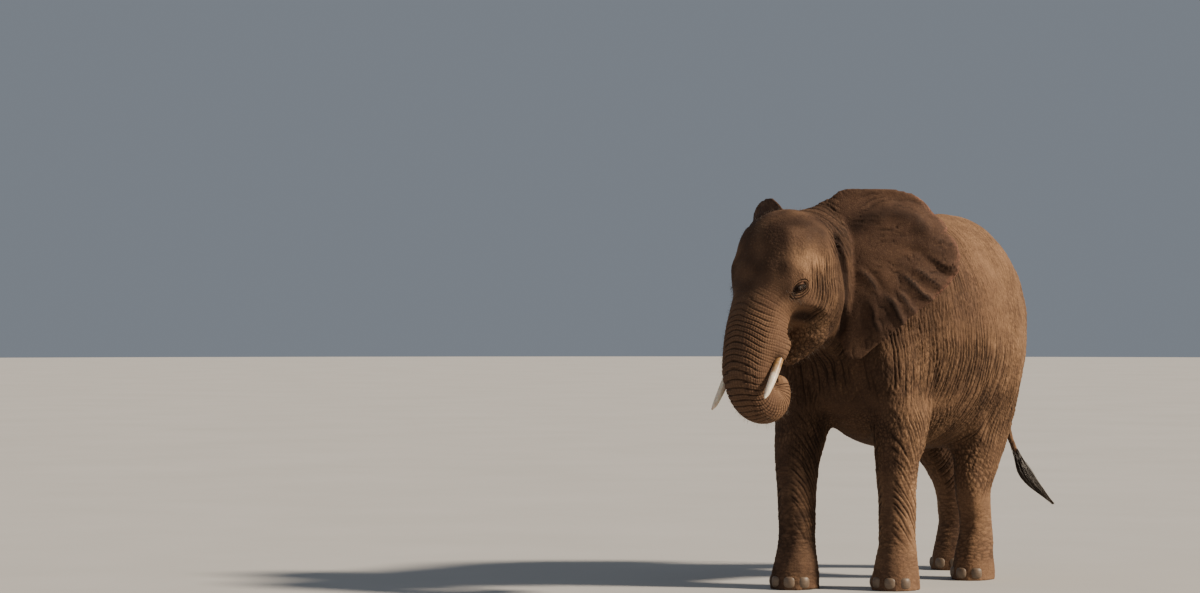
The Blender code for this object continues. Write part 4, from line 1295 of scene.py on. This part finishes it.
def upright_skin(co, normals, lie):
    """Where fine upright creases run: the sides, shoulders, thighs and cheeks, 0 to 1."""
    _, y, z = body_frame(co).T
    _, forward, height = lie.head.T
    sides = ramp(0.15, 0.55, np.abs(normals[:, 0])) * ramp(0.62, 0.85, z)
    head = ramp(-0.40, -0.52, y)
    cheek = ramp(0.10, -0.04, forward) * ramp(2.20, 1.95, height) * (1 - lie.is_trunk)
    rump = 1 - 0.5 * ramp(0.70, 1.20, y) * ramp(1.3, 1.7, z)
    patch = 0.65 + 0.5 * noise(co / 0.22, 55)
    share = sides * (1 - lie.is_ear) * (1 - head + head * cheek) * rump * patch
    return np.clip(share, 0, 1)


def skin():
    """Makes the skin; returns its mesh and where the vertices lay before they were wrinkled."""
    mesh = plain_skin()
    unwrapped(mesh)
    mesh = refined(mesh)
    lie, crease_shade, eye_shade, lid_pink = wrinkled(mesh)
    co, normals = vertex_array(mesh), normal_array(mesh)
    painted_shade, dust_and_painted_light = markings(co, normals, lie)
    # the painted shade of the eyes takes over round the lids
    painted_shade = np.maximum(painted_shade * (1 - lid_pink), eye_shade)
    rim = lie.is_ear * ramp(0.90, 1.0, lie.ear[:, 1]) * ramp(1.6, 1.9, body_frame(co)[:, 2]) * 0.9
    # marks holds the painted shade of the creases, the other painted shade, and the pink of ear
    # rims and lids
    attribute = mesh.attributes.new("marks", "FLOAT_COLOR", "POINT")
    marks = columns(crease_shade, painted_shade, np.maximum(rim, lid_pink), np.ones(len(co)))
    attribute.data.foreach_set("color", marks.astype(np.float32).ravel())
    set_values(mesh, "dust_and_painted_light", dust_and_painted_light)
    set_values(mesh, "strands", upright_skin(co, normals, lie))
    finished("skin", mesh, skin_material(), [*FLESH, "ear_left", "ear_right"])
    return mesh, lie


# ---------------------------------------------------------------- eyes, tusks, nails
def eyeball(name, side, material):
    centre, out, _, _ = eye_axes(name, side)
    bm = bmesh.new()
    bmesh.ops.create_uvsphere(bm, u_segments=48, v_segments=36, radius=1.0)
    turn = out.to_track_quat("Z", "Y").to_matrix()
    rings = []
    for vert in bm.verts:
        off = math.hypot(vert.co.x, vert.co.y) if vert.co.z > 0 else 1.0
        rings.append(off)
        cornea = 1.0 + 0.075 * max(0.0, 1 - (off / 0.58) ** 2)
        vert.co = centre + turn @ (vert.co * (EYE_RADIUS * cornea))
    mesh = mesh_from(bm, "eyeball")
    set_values(mesh, "ring", rings)
    finished(f"eyeball_{name}", mesh, material, [f"eye_{name}"])


def tusk(name, side, material):
    points, radii = (list(row) for row in zip(*tusk_rows(name, side, 12)))
    end, radius = points[-1], radii[-1]
    tip = (end - points[-2]).normalized()
    for k in range(1, 7):
        turn = k / 6.4 * math.pi / 2
        points.append(end + tip * (TUSK_TIP * math.sin(turn)))
        radii.append(radius * math.cos(turn))
    mesh = tube_mesh(points, radii, 40)
    co, normals = vertex_array(mesh), normal_array(mesh)
    bumps = 0.0007 * noise(co / (0.02, 0.02, 0.09), 5) + 0.0004 * noise(co / 0.008, 6)
    write_vertices(mesh, co + normals * bumps[:, None])
    set_values(mesh, "root", ramp(1.30, 1.46, co[:, 2]))
    finished(f"tusk_piece_{name}", mesh, material, [f"tusk_{name}"])


def toenails(material):
    """Domed, ringed plates set in the front of each foot."""
    bm = bmesh.new()
    nodes = [n for n in frame["nodes"] if n.startswith("nail_")]
    for node in sorted(nodes):
        _, end, side, _ = node.split("_")
        centre = sum(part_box(node), Vector()) / 2
        out = centre - sum(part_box(f"{end}foot_{side}"), Vector()) / 2
        out = Vector((out.x, out.y, 0)).normalized()
        plate = bmesh.new()
        bmesh.ops.create_uvsphere(plate, u_segments=32, v_segments=24, radius=1.0)
        turn = Matrix.Rotation(math.atan2(out.y, out.x) + math.pi / 2, 3, "Z")
        for vert in plate.verts:
            x, y, z = vert.co
            square = 1.0 + 0.12 * min(1.0, 4 * x * x * z * z)
            ring = 1.0 + 0.02 * math.sin(z * 26 + x * 2)
            tall = NAIL_ABOVE if z > 0 else NAIL_BELOW
            flat = Vector((NAIL_WIDE * x * square, NAIL_THICK * y * ring, tall * z * square))
            flat.y += 0.006 * x * x
            vert.co = Vector((centre.x, centre.y, NAIL_HEIGHT)) - out * 0.004 + turn @ flat
            vert.co.z = max(vert.co.z, NAIL_FLOOR)
        bm.from_mesh(mesh_from(plate, "plate"))
    finished("toenails", mesh_from(bm, "toenails"), material, nodes)


# ---------------------------------------------------------------- hair
class Strands:
    """Collects tapered three-sided hairs, each with its place on the skin's unwrap."""

    def __init__(self, roots):
        self.roots = roots
        self.points, self.faces, self.uvs, self.along = [], [], [], []

    def add(self, path, radius, root):
        """One hair along a path, rooted at the skin's vertex of that number."""
        u, v = self.roots.uv[root]
        base, last = len(self.points), len(path) - 1
        for i, point in enumerate(path):
            run = heading(path, i)
            side = run.orthogonal().normalized()
            size = radius * (1 - 0.85 * (i / last) ** 1.5)
            self.points += round_about(point, side, run.cross(side), size, 3)
            self.along += [i / last] * 3
        for i in range(last):
            for k in range(3):
                a, b = base + i * 3 + k, base + i * 3 + (k + 1) % 3
                self.faces.append((a, b, b + 3, a + 3))
                across = u + 0.0015 * (k % 2)
                self.uvs += [(across, v + 0.003 * (i + j) / last) for j in (0, 0, 1, 1)]
        for ring, turn in ((base, -1), (base + last * 3, 1)):
            self.faces.append((ring, ring + 1, ring + 2)[::turn])
            self.uvs += [(u, v), (u + 0.0015, v), (u, v + 0.003)]

    def finish(self, name, material, nodes=()):
        mesh = bpy.data.meshes.new(name)
        mesh.from_pydata([tuple(p) for p in self.points], [], self.faces)
        set_map(mesh, self.uvs)
        set_values(mesh, "along", self.along)
        finished(name, mesh, material, nodes)


class SkinRoots:
    """The skin's places, normals and unwrap, for hair to grow from."""

    def __init__(self, mesh, lie):
        self.lie = lie
        self.co, self.normals = vertex_array(mesh), normal_array(mesh)
        self.uv = np.zeros((len(self.co), 2))
        loops = read(mesh.loops, "vertex_index", 1, np.int32)
        self.uv[loops] = read(mesh.uv_layers["OFBake"].data, "uv", 2)

    def nearest(self, point):
        return int(((self.co - np.array(point)) ** 2).sum(1).argmin())


def tail_hair(roots, material):
    random = np.random.RandomState(5)
    path = through(TAIL_HAIR, 6) + SHIFT
    strands = Strands(roots)
    end = roots.nearest(np.array(TAIL_HAIR[2]) + SHIFT)
    for _ in range(TAIL_HAIRS):
        start = random.uniform(0.26, 0.52)
        stop = min(1.0, start + random.uniform(0.42, 0.85))
        turn = random.uniform(0, 2 * math.pi)
        spread = random.uniform(0.2, 1.0) * 0.034
        curl = random.uniform(-1, 1, 3) * 0.006
        around = np.array((math.cos(turn), math.sin(turn) * 0.9, 0.25 * math.sin(turn)))
        points = []
        for k in range(9):
            share = start + (stop - start) * k / 8
            place = share * (len(path) - 1)
            low = min(int(place), len(path) - 2)
            middle = path[low] + (path[low + 1] - path[low]) * (place - low)
            bulge = math.sin(math.pi * min(1.0, share * 1.02)) ** 0.8
            swell = 0.016 + spread * bulge * ramp(0.25, 0.6, share)
            swell *= ramp(1.06, 0.78, share) * 0.85 + 0.15
            points.append(Vector(middle + around * swell + curl * math.sin(4 * share)))
        strands.add(points, random.uniform(0.0011, 0.0019), end)
    strands.finish("tail_hair", material, ["tail_tuft"])


def lashes(roots, material):
    random = np.random.RandomState(6)
    strands = Strands(roots)
    for name, side in SIDES:
        centre, out, up, fore = eye_axes(name, side)
        for _ in range(EYE_LASHES):
            a = random.uniform(-0.022, 0.022)
            b = 0.0140 * math.sqrt(max(0.0, 1 - (a / EYE_SLIT[0]) ** 2)) - 0.28 * a
            start = centre + fore * a + up * b + out * 0.0215
            length = random.uniform(0.022, 0.038)
            lean = fore * (a * 12 + random.uniform(-0.2, 0.2))
            points = []
            for k in range(6):
                t = k / 5
                rise = out * (length * t * (1 - 0.35 * t)) + lean * (length * t * 0.6)
                points.append(start + rise - up * (length * 0.75 * t * t - 0.002))
            strands.add(points, 0.00055, roots.nearest(start))
    strands.finish("lashes", material)


def bristles(roots, material):
    """Sparse stiff hairs on the crown, brow, chin, trunk and back."""
    random = np.random.RandomState(9)
    lie, strands = roots.lie, Strands(roots)
    _, y, z = body_frame(roots.co).T
    _, forward, height = lie.head.T
    _, share, _, _, front = lie.ear.T
    chin = (forward > -0.4) * (forward < 0.1) * (height > 1.38) * (lie.is_trunk < 0.3)
    want = 1.0 * ramp(2.05, 2.25, z) * ramp(-0.3, -0.5, y)
    want += 1.4 * chin * ramp(1.62, 1.50, height)
    want += 0.35 * lie.is_trunk
    want += 0.30 * ramp(2.15, 2.3, z) * (y > -0.3)
    want = want * (1 - lie.is_ear) + 0.25 * lie.is_ear * (share < 0.12) * (front > 0)
    for i in random.choice(len(want), BRISTLES, p=want / want.sum()):
        normal = Vector(roots.normals[i])
        lean = Vector((0, 0.5, -0.5)) + Vector(random.uniform(-0.4, 0.4, 3))
        length = random.uniform(0.012, 0.034)
        root = Vector(roots.co[i]) - normal * 0.001
        rise, lean = normal * length, lean * (0.55 * length)
        points = [root + rise * t + lean * (t * t) for t in (0, 0.35, 0.7, 1.0)]
        strands.add(points, random.uniform(0.00035, 0.0006), i)
    strands.finish("bristles", material)


# ---------------------------------------------------------------- studio
def studio():
    bm = bmesh.new()
    bmesh.ops.create_circle(bm, cap_ends=True, segments=96, radius=90.0)
    floor = new_object("floor", mesh_from(bm, "floor"))
    floor.data.materials.append(floor_material())
    world = bpy.context.scene.world = bpy.data.worlds.new("studio")
    world.use_nodes = True
    background = world.node_tree.nodes["Background"]
    background.inputs["Color"].default_value = (0.74, 0.83, 0.96, 1.0)
    background.inputs["Strength"].default_value = 0.26
    for name, toward, energy, angle, colour in (
        ("key", (-0.72, -0.30, -0.54), 7.4, 6.0, (1.0, 0.86, 0.68)),
        ("fill", (0.30, 0.85, -0.40), 0.25, 50.0, (0.90, 0.93, 1.0)),
    ):
        light = bpy.data.lights.new(name, "SUN")
        light.energy, light.angle, light.color = energy, math.radians(angle), colour
        lamp = new_object(name, light)
        lamp.rotation_mode = "QUATERNION"
        lamp.rotation_quaternion = Vector(toward).normalized().to_track_quat("-Z", "Y")
    camera = new_object("camera", bpy.data.cameras.new("camera"))
    camera.data.lens = 96.3
    camera.data.clip_end = 400.0
    camera.location = (10.975, -17.363, 1.77)
    camera.rotation_euler = (math.radians(90.152), 0.0, math.radians(37.3))
    bpy.context.scene.camera = camera


def main():
    roots = SkinRoots(*skin())
    eye, ivory, horn = eye_material(), ivory_material(), nail_material()
    for name, side in SIDES:
        eyeball(name, side, eye)
        tusk(name, side, ivory)
    toenails(horn)
    black = hair_material("tail_hair", (0.020, 0.015, 0.012), (0.045, 0.030, 0.020), 0.45)
    brown = hair_material("bristle_hair", (0.060, 0.040, 0.028), (0.16, 0.11, 0.075), 0.5)
    tail_hair(roots, black)
    lashes(roots, black)
    bristles(roots, brown)
    studio()


main()
